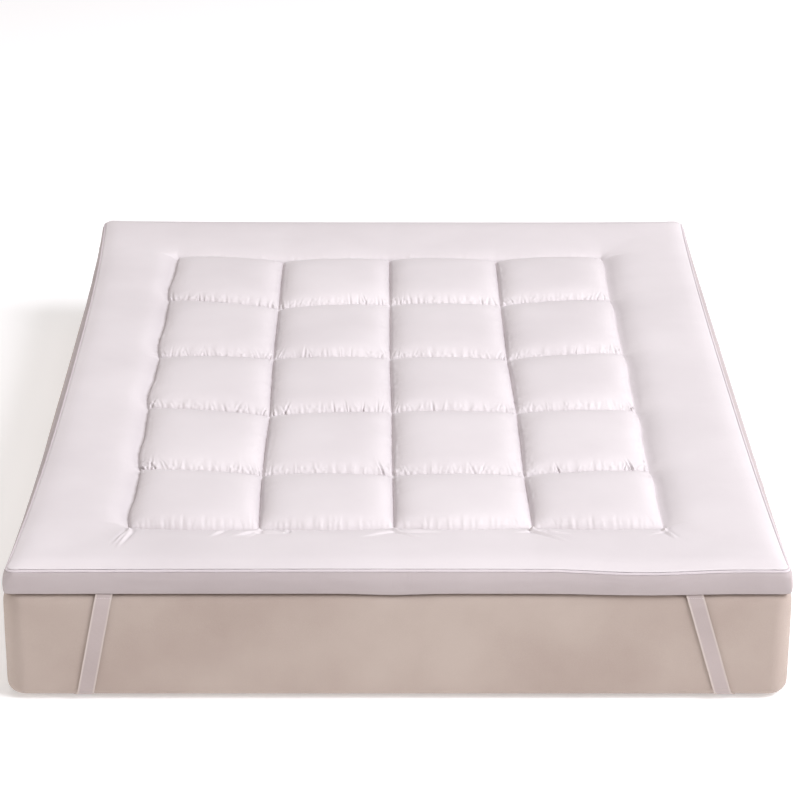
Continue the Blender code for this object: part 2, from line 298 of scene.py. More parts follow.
# A cloth's tone shifts, its fibres and its crumpling, as sizes of a noise per metre.
TONE_SCALE = 3.5
FIBRE_SCALE = 900.0
FIBRE_SHARE = 0.30
CRUMPLE_SCALE = 70.0
CRUMPLE_DEPTH = 0.0008
CRUMPLE_STRENGTH = 0.25
# Where between 0 and 1 the blended tone is darkest and lightest.
TONE_RANGE = (0.45, 0.85)
# A wave texture makes this many radians of its bands in each unit of length and scale.
BANDS_PER_UNIT = 20
THREAD_WANDER = 0.6
WANDER_DETAIL = 2.0
THREAD_STRENGTH = 0.5


def new_material(name, roughness, sheen):
    material = bpy.data.materials.new(name)
    material.use_nodes = True
    shader = material.node_tree.nodes["Principled BSDF"]
    shader.inputs["Roughness"].default_value = roughness
    shader.inputs["Sheen Weight"].default_value = sheen
    shader.inputs["Sheen Roughness"].default_value = SHEEN_ROUGHNESS
    shader.inputs["Specular IOR Level"].default_value = SPECULAR_LEVEL
    return material, shader


def add_node(material, kind, **settings):
    """A node with those settings, each a property or an input socket such as From_Max."""
    node = material.node_tree.nodes.new(kind)
    for name, value in settings.items():
        if hasattr(node, name):
            setattr(node, name, value)
        else:
            node.inputs[name.replace("_", " ")].default_value = value
    return node


def add_noise(material, place, scale, detail):
    """A noise over the piece itself, as its output socket."""
    speckle = add_node(material, "ShaderNodeTexNoise", Scale=scale, Detail=detail)
    material.node_tree.links.new(place.outputs["Object"], speckle.inputs["Vector"])
    return speckle.outputs["Fac"]


def cloth_material(name, dark, light, pitch, thread_depth, roughness=0.85, sheen=0.15):
    """Woven cloth. Its threads follow the cut cloth, pitch apart, and its tone shifts softly."""
    material, shader = new_material(name, roughness, sheen)
    link = material.node_tree.links.new
    place = add_node(material, "ShaderNodeTexCoord")

    blend = add_node(material, "ShaderNodeMath", operation="MULTIPLY_ADD")
    blend.inputs[1].default_value = FIBRE_SHARE
    link(add_noise(material, place, FIBRE_SCALE, 2.0), blend.inputs[0])
    link(add_noise(material, place, TONE_SCALE, 4.0), blend.inputs[2])
    tones = add_node(material, "ShaderNodeValToRGB")
    for i, (position, colour) in enumerate(zip(TONE_RANGE, (dark, light))):
        tones.color_ramp.elements[i].position = position
        tones.color_ramp.elements[i].color = (*colour, 1)
    link(blend.outputs[0], tones.inputs["Fac"])
    link(tones.outputs["Color"], shader.inputs["Base Color"])

    woven = add_node(material, "ShaderNodeMath", operation="ADD")
    for i, direction in enumerate("XY"):
        threads = add_node(material, "ShaderNodeTexWave", bands_direction=direction)
        threads.inputs["Scale"].default_value = 2 * pi / pitch / BANDS_PER_UNIT
        threads.inputs["Distortion"].default_value = THREAD_WANDER
        threads.inputs["Detail Scale"].default_value = WANDER_DETAIL
        link(place.outputs["UV"], threads.inputs["Vector"])
        link(threads.outputs["Fac"], woven.inputs[i])
    bump = add_node(material, "ShaderNodeBump", Strength=THREAD_STRENGTH, Distance=thread_depth)
    link(woven.outputs[0], bump.inputs["Height"])
    crumple = add_node(
        material, "ShaderNodeBump", Strength=CRUMPLE_STRENGTH, Distance=CRUMPLE_DEPTH
    )
    link(add_noise(material, place, CRUMPLE_SCALE, 3.0), crumple.inputs["Height"])
    link(bump.outputs["Normal"], crumple.inputs["Normal"])
    link(crumple.outputs["Normal"], shader.inputs["Normal"])
    return material


cover_cloth = cloth_material(
    "topper cover cloth", (0.682, 0.638, 0.650), (0.748, 0.704, 0.716), 0.0011, 0.00012
)
# The boxed wall's cloth is the cover's cloth made darker: painted shade for the shade that falls
# on the upright wall under light from above.
shaded_wall_cloth = cloth_material(
    "topper wall cloth", (0.428, 0.374, 0.376), (0.483, 0.428, 0.430), 0.0011, 0.00012
)
piping_cloth = cloth_material(
    "piping cloth", (0.60, 0.545, 0.565), (0.68, 0.62, 0.64), 0.0009, 0.00010
)
mattress_cloth = cloth_material(
    "mattress knit", (0.400, 0.322, 0.283), (0.486, 0.409, 0.362), 0.0016, 0.00020, roughness=0.92
)
elastic_cloth = cloth_material(
    "strap elastic", (0.425, 0.361, 0.351), (0.504, 0.433, 0.423), 0.0022, 0.00030, roughness=0.75
)
thread_cloth = cloth_material(
    "quilting thread", (0.70, 0.655, 0.668), (0.77, 0.725, 0.737), 0.0005, 0.00005, roughness=0.6
)


# Along a band's width: where its lighter selvedges start and end, and how light they are.
SELVEDGE_TONES = ((0.07, 0.8), (0.13, 0.0), (0.87, 0.0), (0.93, 0.8))


def lighten_selvedges(material, colour, width):
    """Woven edges of another colour along both sides of a band that is cut width across."""
    nodes, link = material.node_tree.nodes, material.node_tree.links.new
    shader = nodes["Principled BSDF"]
    middle_tone = shader.inputs["Base Color"].links[0].from_socket
    place = add_node(material, "ShaderNodeTexCoord")
    across = add_node(material, "ShaderNodeSeparateXYZ")
    link(place.outputs["UV"], across.inputs["Vector"])
    share = add_node(material, "ShaderNodeMapRange", From_Max=width)
    link(across.outputs["X"], share.inputs["Value"])
    edges = add_node(material, "ShaderNodeValToRGB")
    ramp = edges.color_ramp
    ramp.elements[0].color = (1, 1, 1, 1)
    ramp.elements[1].color = (1, 1, 1, 1)
    for position, level in SELVEDGE_TONES:
        ramp.elements.new(position).color = (level, level, level, 1)
    link(share.outputs["Result"], edges.inputs["Fac"])
    mix = add_node(material, "ShaderNodeMixRGB", Color2=(*colour, 1))
    link(edges.outputs["Color"], mix.inputs["Fac"])
    link(middle_tone, mix.inputs["Color1"])
    link(mix.outputs["Color"], shader.inputs["Base Color"])


lighten_selvedges(elastic_cloth, (0.57, 0.50, 0.465), STRAP_WIDTH)


# --------------------------------------------------------------------------------------------
# Topper: the plan of its panels
# --------------------------------------------------------------------------------------------
def draw_in(x, y):
    """Where a point of the flat-cut topper lies once its filled sides pull in between corners."""
    half_x, half_y = TOPPER_HALF_WIDTH, TOPPER_HALF_LENGTH
    pull_x = np.where(x < 0, LEFT_DRAWN_IN, RIGHT_DRAWN_IN)
    pull_x = pull_x * (1 - abs(y / half_y) ** SIDE_FADE_POWER)
    pull_y = END_DRAWN_IN * np.cos(pi * x / (2 * half_x))
    pulled_x = x - pull_x * np.sign(x) * (abs(x) / half_x) ** SIDE_PULL_POWER
    return pulled_x, y - pull_y * (y / half_y) ** END_PULL_POWER


def foot_slump(x):
    """How far the foot edge has slumped at a place across it, as an offset."""
    away = np.minimum(abs(x - SLUMP_PLACE) / SLUMP_REACH, 1.0)
    share = (1 + np.cos(pi * away)) / 2
    return np.stack([0 * share, -SLUMP_FORWARD * share, -SLUMP_DOWN * share], -1)


def foot_sag(x, y):
    """How far the wall's lower edge and the mattress's rim under it dip at the foot's middle."""
    return SAG_DEPTH * bell(x - SAG_PLACE, SAG_REACH) * (y < SAG_END)


def from_corner(x, y):
    """How far a flat-cut point lies into its corner's round, and which way outward is there."""
    in_x = np.maximum(abs(x) - TOPPER_HALF_WIDTH + TOPPER_CORNER, 0)
    in_y = np.maximum(abs(y) - TOPPER_HALF_LENGTH + TOPPER_CORNER, 0)
    reach = np.maximum(in_x, in_y)
    turn = pi / 4 * np.minimum(in_x, in_y) / np.maximum(reach, 1e-9)
    angle = np.where(in_x > in_y, turn, pi / 2 - turn)
    near = reach > 0
    return in_x, in_y, reach, np.sign(x) * np.cos(angle) * near, np.sign(y) * np.sin(angle) * near


def round_corners(x, y):
    """Turns the flat-cut rectangle's square corners into round ones."""
    in_x, in_y, reach, out_x, out_y = from_corner(x, y)
    corner = (in_x > 0) & (in_y > 0)
    round_x = np.sign(x) * (TOPPER_HALF_WIDTH - TOPPER_CORNER) + reach * out_x
    round_y = np.sign(y) * (TOPPER_HALF_LENGTH - TOPPER_CORNER) + reach * out_y
    return np.where(corner, round_x, x), np.where(corner, round_y, y)


def edge_point(x, y):
    """The piping's middle and its outward direction, for a point on the flat-cut rectangle."""
    from_side = TOPPER_HALF_WIDTH - abs(x)
    from_end = TOPPER_HALF_LENGTH - abs(y)
    to_right = 1 if x > 0 else -1
    to_head = 1 if y > 0 else -1
    on_side = from_side < from_end
    if max(from_side, from_end) > TOPPER_CORNER:
        outward = Vector((to_right, 0, 0)) if on_side else Vector((0, to_head, 0))
    else:
        turn = radians(45) * max(from_side, from_end) / TOPPER_CORNER
        angle = radians(45) - turn if on_side else radians(45) + turn
        outward = Vector((to_right * cos(angle), to_head * sin(angle), 0))
        x = to_right * (TOPPER_HALF_WIDTH - TOPPER_CORNER) + TOPPER_CORNER * outward.x
        y = to_head * (TOPPER_HALF_LENGTH - TOPPER_CORNER) + TOPPER_CORNER * outward.y
    middle = np.array([*draw_in(x, y), PIPING_HEIGHT])
    if outward.y < 0:
        middle += foot_slump(middle[0])
    return middle, np.array(outward)


def panel_corners():
    """Corners of the grid of panels, edges included, as an array [column, row, (x, y)]."""
    corners = []
    for column in range(LONG_SEAM_COUNT + 2):
        seam = min(max(column - 1, 0), LONG_SEAM_COUNT - 1)
        places = [row[seam] for row in SEAM_CROSSINGS]
        if column == 0:
            places = [(-TOPPER_HALF_WIDTH, distance) for _, distance in places]
        if column == LONG_SEAM_COUNT + 1:
            places = [(TOPPER_HALF_WIDTH, distance) for _, distance in places]
        foot = (places[0][0], -TOPPER_HALF_LENGTH)
        head = (places[-1][0], TOPPER_HALF_LENGTH)
        middle = [(x, distance - TOPPER_HALF_LENGTH) for x, distance in places]
        corners.append([foot, *middle, head])
    return np.array(corners)


CORNERS = panel_corners()
LAST_COLUMN = LONG_SEAM_COUNT
LAST_ROW = CROSS_SEAM_COUNT
# Of a panel's other lines, none lies closer than this share of it to its creased stretch.
LINE_GAP = 0.01
# Further from a seam than any point is.
FAR_AWAY = 1.0


def panel_lines(first, last, sizes, seam_step, middle_step, crease_lines=0):
    """The panel number and the share across it of every grid line.

    The lines lie about seam_step apart within SEAM_ZONE of a panel's sides, else middle_step.
    They are closer along the topper's own edge, and may be where its first panel is creased.
    """
    panels, shares = [], []
    for panel in range(first, last + 1):
        zone = SEAM_ZONE / sizes[panel]
        edge_count = max(round(SEAM_ZONE / seam_step), 2)
        middle_count = max(round((sizes[panel] - 2 * SEAM_ZONE) / middle_step), 2)
        start = zone * np.arange(edge_count) / edge_count
        middle = zone + (1 - 2 * zone) * np.arange(middle_count) / middle_count
        end = 1 - zone + start
        edge = np.array(EDGE_LINES) / sizes[panel]
        if panel == 0:
            start = edge[:-1]
        if panel == 0 and crease_lines:
            inner = CREASE_ZONE / sizes[panel]
            end = 1 - inner + inner * np.arange(crease_lines) / crease_lines
            middle = middle[middle < 1 - inner - LINE_GAP]
        if panel == len(sizes) - 1:
            end = 1 - edge[:0:-1]
        panels += [panel] * (len(start) + len(middle) + len(end))
        shares += [*start, *middle, *end]
    return np.array([*panels, last]), np.array([*shares, 1.0])


class Grid:
    """A cloth laid out over some of the topper's panels.

    cut is each point's place on the flat-cut cloth, and place is where it starts on the topper.
    span_across and span_along are the width and length of the panel that it lies in.
    """

    def __init__(self, columns, rows, steps_across, steps_along):
        widths = np.diff(CORNERS[:, 2, 0])
        lengths = np.diff(CORNERS[3, :, 1])
        self.column, self.u = panel_lines(*columns, widths, *steps_across)
        self.row, self.v = panel_lines(*rows, lengths, *steps_along)
        c, r, across, along = self.lines()
        u, v = across[..., None], along[..., None]
        near = CORNERS[c, r] * (1 - u) + CORNERS[c + 1, r] * u
        far = CORNERS[c, r + 1] * (1 - u) + CORNERS[c + 1, r + 1] * u
        self.cut = near * (1 - v) + far * v
        bows = np.zeros((LAST_COLUMN + 1, LAST_ROW + 2))
        bows[1:LAST_COLUMN, 1] = FOOT_SEAM_BOW
        bows[1:LAST_COLUMN, 2 : LAST_ROW + 1] = CROSS_SEAM_BOW
        near[..., 1] -= bows[c, r] * arch(across)
        far[..., 1] -= bows[c, r + 1] * arch(across)
        plan = near * (1 - v) + far * v
        plan[..., 0] += self.scallops()
        x, y = draw_in(*round_corners(plan[..., 0], plan[..., 1]))
        self.base, height = self.heights()
        self.place = np.stack([x, y, height], -1)
        slump = foot_slump(x) * (1 - v) * (r == 0)[..., None]
        self.place += slump
        self.base += slump[..., 2]
        self.numbers = np.arange(x.size).reshape(x.shape)
        self.span_across = np.broadcast_to(widths[c], x.shape)
        self.span_along = np.broadcast_to(lengths[r], x.shape)

    def lines(self):
        """Panel number across and along, and share across and along, of the grid's lines."""
        return self.column[:, None], self.row[None, :], self.u[:, None], self.v[None, :]

    def sewn_lines(self):
        """Numbers of the lines that lie on a panel's sides: across the grid, then along it."""
        columns = np.flatnonzero((self.u == 0) | (self.u == 1))
        return columns, np.flatnonzero((self.v == 0) | (self.v == 1))

    def scallops(self):
        """How far each point moves sideways where the outer cells bulge over their seams."""
        c, r, u, v = self.lines()
        left = np.where(c == 0, u, np.where(c == 1, 1 - u, 0.0))
        right = np.where(c == LAST_COLUMN, 1 - u, np.where(c == LAST_COLUMN - 1, u, 0.0))
        foot_end = arch(np.minimum(2 * v, 1.0)) * (1 - v)
        head_end = arch(np.minimum(2 * (1 - v), 1.0)) * v
        move = RIGHT_SCALLOP * right**SCALLOP_POWER * head_end
        move = move - LEFT_SCALLOP * left**SCALLOP_POWER * foot_end
        return move * ((r > 0) & (r < LAST_ROW))

    def heights(self):
        """Each point's height without its crown, and with it."""
        c, r, u, v = self.lines()
        in_columns = (c > 0) & (c < LAST_COLUMN)
        in_rows = (r > 0) & (r < LAST_ROW)
        cell_base = CROSSING_HEIGHT + SEAM_LIFT * (1 - (1 - arch(u)) * (1 - arch(v)))
        cell = cell_base + CELL_CROWN * arch(u, CELL_FULLNESS) * arch(v, CELL_FULLNESS)
        from_side = np.where(c == 0, u, np.where(c == LAST_COLUMN, 1 - u, 1.0))
        from_end = np.where(r == 0, v, np.where(r == LAST_ROW, 1 - v, 1.0))
        mitre = (1 - from_side) ** BORDER_MITRE + (1 - from_end) ** BORDER_MITRE
        from_edge = np.clip(1 - mitre ** (1 / BORDER_MITRE), 0, 1)
        edge_height = PIPING_HEIGHT + PIPING_SEAT_RADIUS * sin(PIPING_SEAT[0])
        along = np.where(in_columns, u, np.where(in_rows, v, 0))
        seam_height = CROSSING_HEIGHT + SEAM_LIFT * arch(along)
        border_base = edge_height + (seam_height - edge_height) * from_edge
        border = border_base + BORDER_CROWN * arch(from_edge, BORDER_FULLNESS)
        inside = in_columns & in_rows
        return np.where(inside, cell_base, border_base), np.where(inside, cell, border)

    def quads(self, keep=None):
        """Faces of the grid, or of the panels that keep marks, as rows of four numbers."""
        quads = grid_quads(self.numbers)
        if keep is not None:
            quads = quads[keep[:-1, :-1]]
        return quads.reshape(-1, 4)

    def rim(self):
        """The grid's outer point numbers in order round it."""
        return rim_of(self.numbers)


# --------------------------------------------------------------------------------------------
# Topper: filling it
# --------------------------------------------------------------------------------------------
FILL_FRAMES = 12
# How the cloth behaves while it is filled.
CLOTH_SETTINGS = {
    "quality": 5,
    "air_damping": 2.0,
    "tension_stiffness": 80.0,
    "compression_stiffness": 80.0,
    "shear_stiffness": 5.0,
    "bending_stiffness": 0.4,
    "shrink_min": 0.0,
    "shrink_max": -0.12,
    "use_pressure": True,
    "uniform_pressure_force": 120.0,
}
GATHER_LEVELS = 20
# No point is moved further than this by the filling.
MOST_MOVE = 0.014
# How much wider and longer the cloth is cut than the place that it is sewn into.
CELL_SLACK = (1.025, 1.018)
BORDER_SLACK = (1.016, 1.009)
# The cloth is gathered along its seams: how far from them, the slight unevenness that the
# gathers start from, and the share of them along the front row's own seam.
GATHER_REACH = 0.014
START_RIPPLE = 0.001
FRONT_ROW_FULLNESS = 0.35

ALL_PANELS = ((0, LAST_COLUMN), (0, LAST_ROW))
CELL_PANELS = ((1, LAST_COLUMN - 1), (1, LAST_ROW - 1))
filling_cells = Grid(*CELL_PANELS, (FILLING_CELL_STEP,) * 2, (FILLING_CELL_STEP,) * 2)
filling_border = Grid(*ALL_PANELS, (FILLING_BORDER_STEP,) * 2, (FILLING_BORDER_STEP,) * 2)
cells = Grid(*CELL_PANELS, CELL_STEPS_ACROSS, CELL_STEPS_ALONG)
border = Grid(*ALL_PANELS, BORDER_STEPS_ACROSS, BORDER_STEPS_ALONG)


def border_share(grid):
    """Marks the panels of a whole-topper grid that belong to the plain border."""
    c, r, _, _ = grid.lines()
    return (c == 0) | (c == LAST_COLUMN) | (r == 0) | (r == LAST_ROW)


def quilted_rim(grid):
    """Point numbers of a whole-topper grid in order round the quilted middle."""
    columns = slice(np.argmax(grid.column > 0), np.argmax(grid.column == LAST_COLUMN) + 1)
    rows = slice(np.argmax(grid.row > 0), np.argmax(grid.row == LAST_ROW) + 1)
    return rim_of(grid.numbers[columns, rows])


def seam_distance(grid, outer_too):
    """How far each point lies from the nearest quilting seam, on the cut cloth.

    outer_too also counts the sides of the grid's outer panels, as sewn lines.
    """
    c, r, u, v = grid.lines()
    columns = (c > 0) & ((c < LAST_COLUMN) | (u == 0)) | outer_too
    rows = (r > 0) & ((r < LAST_ROW) | (v == 0)) | outer_too
    sides = (
        (rows & ((c > 0) | outer_too), u * grid.span_across),
        (rows & ((c < LAST_COLUMN) | outer_too), (1 - u) * grid.span_across),
        (columns & ((r > 0) | outer_too), v * grid.span_along),
        (columns & ((r < LAST_ROW) | outer_too), (1 - v) * grid.span_along),
    )
    return np.min([np.where(sewn, away, FAR_AWAY) for sewn, away in sides], axis=0)


def seat_rim(grid):
    """Puts the grid's rim in its seat against the piping, and returns the piping's line there."""
    line = []
    for number in grid.rim():
        i, j = np.unravel_index(number, grid.numbers.shape)
        middle, outward = edge_point(*grid.cut[i, j])
        line.append((middle, outward))
        seat = outward * cos(PIPING_SEAT[0]) + np.array([0, 0, sin(PIPING_SEAT[0])])
        grid.place[i, j] = middle + seat * PIPING_SEAT_RADIUS
    return line


def blow_up(places, faces, cut, sewn, fullness):
    """Fills the cloth from below, and returns where its points come to rest.

    cut is the flat cloth, sewn marks the points that stitches hold down, and fullness runs from
    0 to 1 where a stitched line gathers the cloth.
    """
    mesh = bpy.data.meshes.new("filling")
    mesh.from_pydata(places.tolist(), [], faces.tolist())
    cloth = bpy.data.objects.new("filling", mesh)
    bpy.context.scene.collection.objects.link(cloth)
    cloth.shape_key_add(name="Basis")
    flat_key = cloth.shape_key_add(name="flat cut")
    flat = np.column_stack([cut, np.zeros(len(cut))]).astype(np.float32)
    flat_key.data.foreach_set("co", flat.ravel())
    flat_key.value = 0.0
    held = cloth.vertex_groups.new(name="sewn")
    held.add(np.flatnonzero(sewn).tolist(), 1.0, "REPLACE")
    gathered = cloth.vertex_groups.new(name="gathered")
    levels = np.round(fullness * GATHER_LEVELS).astype(int)
    for level in range(1, GATHER_LEVELS + 1):
        members = np.flatnonzero(levels == level).tolist()
        if members:
            gathered.add(members, level / GATHER_LEVELS, "REPLACE")
    filling = cloth.modifiers.new("filling", "CLOTH")
    settings = filling.settings
    for name, value in CLOTH_SETTINGS.items():
        setattr(settings, name, value)
    settings.vertex_group_mass = held.name
    settings.vertex_group_shrink = gathered.name
    settings.effector_weights.gravity = 0.0
    settings.rest_shape_key = flat_key
    filling.collision_settings.use_collision = False
    for step in range(1, FILL_FRAMES + 1):
        bpy.context.scene.frame_set(step)
    evaluated = cloth.evaluated_get(bpy.context.evaluated_depsgraph_get())
    filled = np.empty(len(places) * 3, np.float32)
    evaluated.data.vertices.foreach_get("co", filled)
    bpy.context.scene.frame_set(1)
    bpy.data.objects.remove(cloth)
    move = filled.reshape(-1, 3).astype(float) - places
    far = np.linalg.norm(move, axis=1, keepdims=True)
    return places + move * np.minimum(1.0, MOST_MOVE / np.maximum(far, 1e-9))


def fill_topper():
    """Fills the cells and the border together, on the coarser grids."""
    ripple = np.random.default_rng(3)
    seat_rim(filling_border)
    cell_near = np.exp(-seam_distance(filling_cells, True) / GATHER_REACH)
    front = (filling_cells.row[None, :] == 1) & (filling_cells.v[None, :] < 0.5)
    cell_near = cell_near * np.where(front, FRONT_ROW_FULLNESS, 1.0)
    border_near = np.exp(-seam_distance(filling_border, False) / GATHER_REACH)
    cell_sewn = np.zeros(filling_cells.numbers.shape, bool)
    columns, rows = filling_cells.sewn_lines()
    cell_sewn[columns] = True
    cell_sewn[:, rows] = True
    border_quads = filling_border.quads(border_share(filling_border))
    used = np.unique(border_quads)
    number_of = renumbered(used, filling_border.numbers.size)
    border_sewn = np.zeros(filling_border.numbers.size, bool)
    border_sewn[filling_border.rim() + quilted_rim(filling_border)] = True

    cell_places = filling_cells.place.reshape(-1, 3)
    border_places = filling_border.place.reshape(-1, 3)
    places = np.vstack([cell_places, border_places[used]])
    sewn = np.concatenate([cell_sewn.ravel(), border_sewn[used]])
    near = np.concatenate([cell_near.ravel(), border_near.ravel()[used]])
    places[:, 2] += START_RIPPLE * ripple.standard_normal(len(places)) * near * ~sewn
    cell_cut = filling_cells.cut.reshape(-1, 2) * CELL_SLACK
    border_cut = np.stack(draw_in(*filling_border.cut.reshape(-1, 2)[used].T), -1) * BORDER_SLACK
    cut = np.vstack([cell_cut, border_cut])
    faces = np.vstack([filling_cells.quads(), number_of[border_quads] + len(cell_places)])
    filled = places
    filled = blow_up(places, faces, cut, sewn, near)
    filling_cells.place = filled[: len(cell_places)].reshape(filling_cells.place.shape)
    border_places[used] = filled[len(cell_places) :]
    filling_border.place = border_places.reshape(filling_border.place.shape)


def read_between(values, panels, shares, new_panels, new_shares):
    """Values known on some grid lines, read smoothly within each panel at other grid lines."""
    read = []
    for panel in np.unique(panels):
        first = int(np.argmax(panels == panel))
        after = np.flatnonzero(panels == panel + 1)
        last = int(after[0]) if len(after) else len(panels) - 1
        known = values[first : last + 1]
        before = 2 * known[:1] - known[1:2]
        beyond = 2 * known[-1:] - known[-2:-1]
        known = np.concatenate([before, known, beyond])
        at = np.interp(
            new_shares[new_panels == panel],
            [*shares[first:last], 1.0],
            np.arange(last - first + 1),
        )
        i = np.minimum(at.astype(int), last - first - 1)
        t = (at - i)[:, None, None]
        a, b, c, d = known[i], known[i + 1], known[i + 2], known[i + 3]
        bend = 2 * a - 5 * b + 4 * c - d + t * (3 * (b - c) + d - a)
        read.append(b + 0.5 * t * (c - a + t * bend))
    return np.concatenate(read)


def read_through(values, panels, shares, new_panels, new_shares):
    """As read_between, but smooth from each panel into the next."""
    count = panels.max() + 1
    one, new_one = np.zeros_like(panels), np.zeros_like(new_panels)
    whole, new_whole = (panels + shares) / count, (new_panels + new_shares) / count
    return read_between(values, one, whole, new_one, new_whole)


def refine(coarse, fine):
    """Moves the fine grid's points onto the filled coarse one.

    The plain border has no seams across it, so it is read straight through its panels.
    """
    lines = (coarse.column, coarse.u, fine.column, fine.u)
    place = read_between(coarse.place, *lines)
    whole = coarse.row[0] == 0
    if whole:
        ends = (coarse.row == 0) | (coarse.row == LAST_ROW)
        ends[np.argmax(coarse.row == LAST_ROW)] = True
        ends[np.argmax(coarse.row > 0)] = True
        place[:, ends] = read_through(coarse.place[:, ends], *lines)
    place = place.transpose(1, 0, 2)
    lines = (coarse.row, coarse.v, fine.row, fine.v)
    finer = read_between(place, *lines)
    if whole:
        sides = (fine.column == 0) | (fine.column == LAST_COLUMN)
        sides[np.argmax(fine.column > 0)] = True
        finer[:, sides] = read_through(place[:, sides], *lines)
    fine.place = finer.transpose(1, 0, 2)


# --------------------------------------------------------------------------------------------
# Topper: firm crowns, gathers and creases
# --------------------------------------------------------------------------------------------
# How firm the filling makes the crowns, and how high they can stand.
CELL_FIRMNESS = 1.7
CELL_TOP = 0.0265
BORDER_FIRMNESS = 1.25
BORDER_TOP = 0.014
SEAM_GAP = 0.0004
# The border's cloth rolls over next to the quilted middle, and from there falls to the edge.
ROLL_HEIGHT = 0.0010
ROLL_START = 0.004
ROLL_PLACE = 0.014
ROLL_WIDTH = 0.014
BORDER_FALL = 0.0006
# Beside the cells it slopes down to the quilting more slowly, from this place along the bed on.
SIDE_DIP = 0.0065
SIDE_DIP_WIDTH = 0.034
SIDE_DIP_START = -0.84
SIDE_DIP_FADE = 0.12


def roll_border():
    """Raises the border's inner side into a roll along the quilted middle."""
    c, r, u, v = border.lines()
    across, along = border.span_across, border.span_along
    x = np.where(c == 0, (1 - u) * across, np.where(c == LAST_COLUMN, u * across, 0.0))
    y = np.where(r == 0, (1 - v) * along, np.where(r == LAST_ROW, v * along, 0.0))
    away = np.hypot(x, y)
    out = np.maximum(x / across, y / along)
    start = 1 - np.exp(-away / ROLL_START)
    roll = ROLL_HEIGHT * bell(away - ROLL_PLACE, ROLL_WIDTH)
    beside = ((c == 0) | (c == LAST_COLUMN)) & (r > 0) & (r < LAST_ROW)
    fade = arch(share_past(border.place[..., 1], SIDE_DIP_START, SIDE_DIP_FADE) / 2)
    dip = SIDE_DIP * bell(away, SIDE_DIP_WIDTH) * beside * fade
    border.place[..., 2] += start * (roll + BORDER_FALL * (1 - out) - dip)


# At the piping the panel's edge rolls out over a narrow crease: distance in from the edge, and
# how far outward the cloth moves there.
EDGE_PUSH = (
    (0.0000, 0.0000),
    (0.0014, 0.0024),
    (0.0028, 0.0050),
    (0.0044, 0.0064),
    (0.0062, 0.0062),
    (0.0085, 0.0044),
    (0.0115, 0.0020),
    (TOPPER_CORNER, 0.0000),
)
# Along the sides the roll is this much smaller, so that the piping shows.
SIDE_EASE = 0.75


def roll_edge():
    """Pushes the border's outer edge out over the piping in a soft roll."""
    _, _, reach, out_x, out_y = from_corner(border.cut[..., 0], border.cut[..., 1])
    distances, pushes = np.array(EDGE_PUSH).T
    push = np.interp(TOPPER_CORNER - reach, distances, pushes) * (1 - SIDE_EASE * abs(out_x))
    border.place[..., 0] += push * out_x
    border.place[..., 1] += push * out_y


def firm_up(grid, firmness, top):
    """Flattens the crowns and steepens their sides, as thick fibre filling does."""
    rise = grid.place[..., 2] - grid.base
    grid.place[..., 2] = grid.base + top * np.tanh(firmness * rise / top)


PINCH_DEPTH = 0.0032
PINCH_REACH = 0.0028


def pinch_seams(grid, outer_too):
    """Draws the cloth down into a narrow groove along each sewn line."""
    grid.place[..., 2] -= PINCH_DEPTH * bell(seam_distance(grid, outer_too), PINCH_REACH)


# Gathers along a sewn line. Where there are two values, each gather's own is picked between them.
FIRST_GATHER = (0.002, 0.010)
GATHER_SPACING = (0.004, 0.017)
GATHER_LENGTH = (0.011, 0.024)
GATHER_WIDTH = (0.0013, 0.0026)
GATHER_LEAN = (-0.55, 0.45)
GATHER_START = 0.003
GATHER_RIM = 0.45
LEAST_GATHER = 0.07
# Few gathers are deep: the power makes most of the picks small.
DEEP_GATHER_POWER = 5
# Their depth swells and fades along the line: how much, and over what length.
SWELL_MIDDLE, SWELL_RANGE = 0.55, 0.45
SWELL_LENGTH = 0.19
# Where two seams cross, their pull adds to the gathers' depth and length.
CROSSING_PULL = 0.85
CROSSING_PULL_REACH = 0.030
CROSSING_PULL_LENGTH = 0.010
# A crease's low rims lie this many of its widths from its middle.
RIM_PLACE = 2.1


def crease_section(across, rim):
    """A crease's section, 1 deep, with rims of that height. across is counted in its widths."""
    return bell(across, 1) - rim * bell(np.abs(across) - RIM_PLACE, 1)


def gathers(along, away, length, strength, pick):
    """Depth of the short creases that run in from a sewn line of that length.

    along and away are each point's distance along the line and from it.
    """
    depth = np.zeros(along.shape)
    place = pick.uniform(*FIRST_GATHER)
    start = pick.uniform(0, 2 * pi)
    while place < length:
        pull = np.exp(-min(place, length - place) / CROSSING_PULL_REACH)
        swell = SWELL_MIDDLE + SWELL_RANGE * sin(start + 2 * pi * place / SWELL_LENGTH)
        deep = swell * (LEAST_GATHER + pick.random() ** DEEP_GATHER_POWER)
        deep += CROSSING_PULL * pull * pick.random()
        reach = pick.uniform(*GATHER_LENGTH) + CROSSING_PULL_LENGTH * pull
        width = pick.uniform(*GATHER_WIDTH)
        lean = pick.uniform(*GATHER_LEAN)
        body = (1 - np.exp(-away / GATHER_START)) * bell(away, reach)
        across = (along - place - lean * away) / width
        depth -= strength * deep * body * crease_section(across, GATHER_RIM)
        place += pick.uniform(*GATHER_SPACING)
    return depth


def press_in(grid, depth):
    """Moves each point along the cloth's own normal."""
    across = np.gradient(grid.place, axis=0)
    along = np.gradient(grid.place, axis=1)
    normal = np.cross(across, along)
    normal /= np.maximum(np.linalg.norm(normal, axis=-1, keepdims=True), 1e-12)
    grid.place += normal * depth[..., None]


# How far from a seam the gathers reach at most, and over what distance from it they begin.
GATHER_ZONE = 0.045
GATHER_EDGE = 0.004
# Their depth along a cell's seam at the foot, the head and its sides. The front row has a share.
FOOT_GATHERS = 0.0052
FRONT_ROW_SHARE = 0.18
HEAD_GATHERS = 0.0010
SIDE_GATHERS = 0.0006


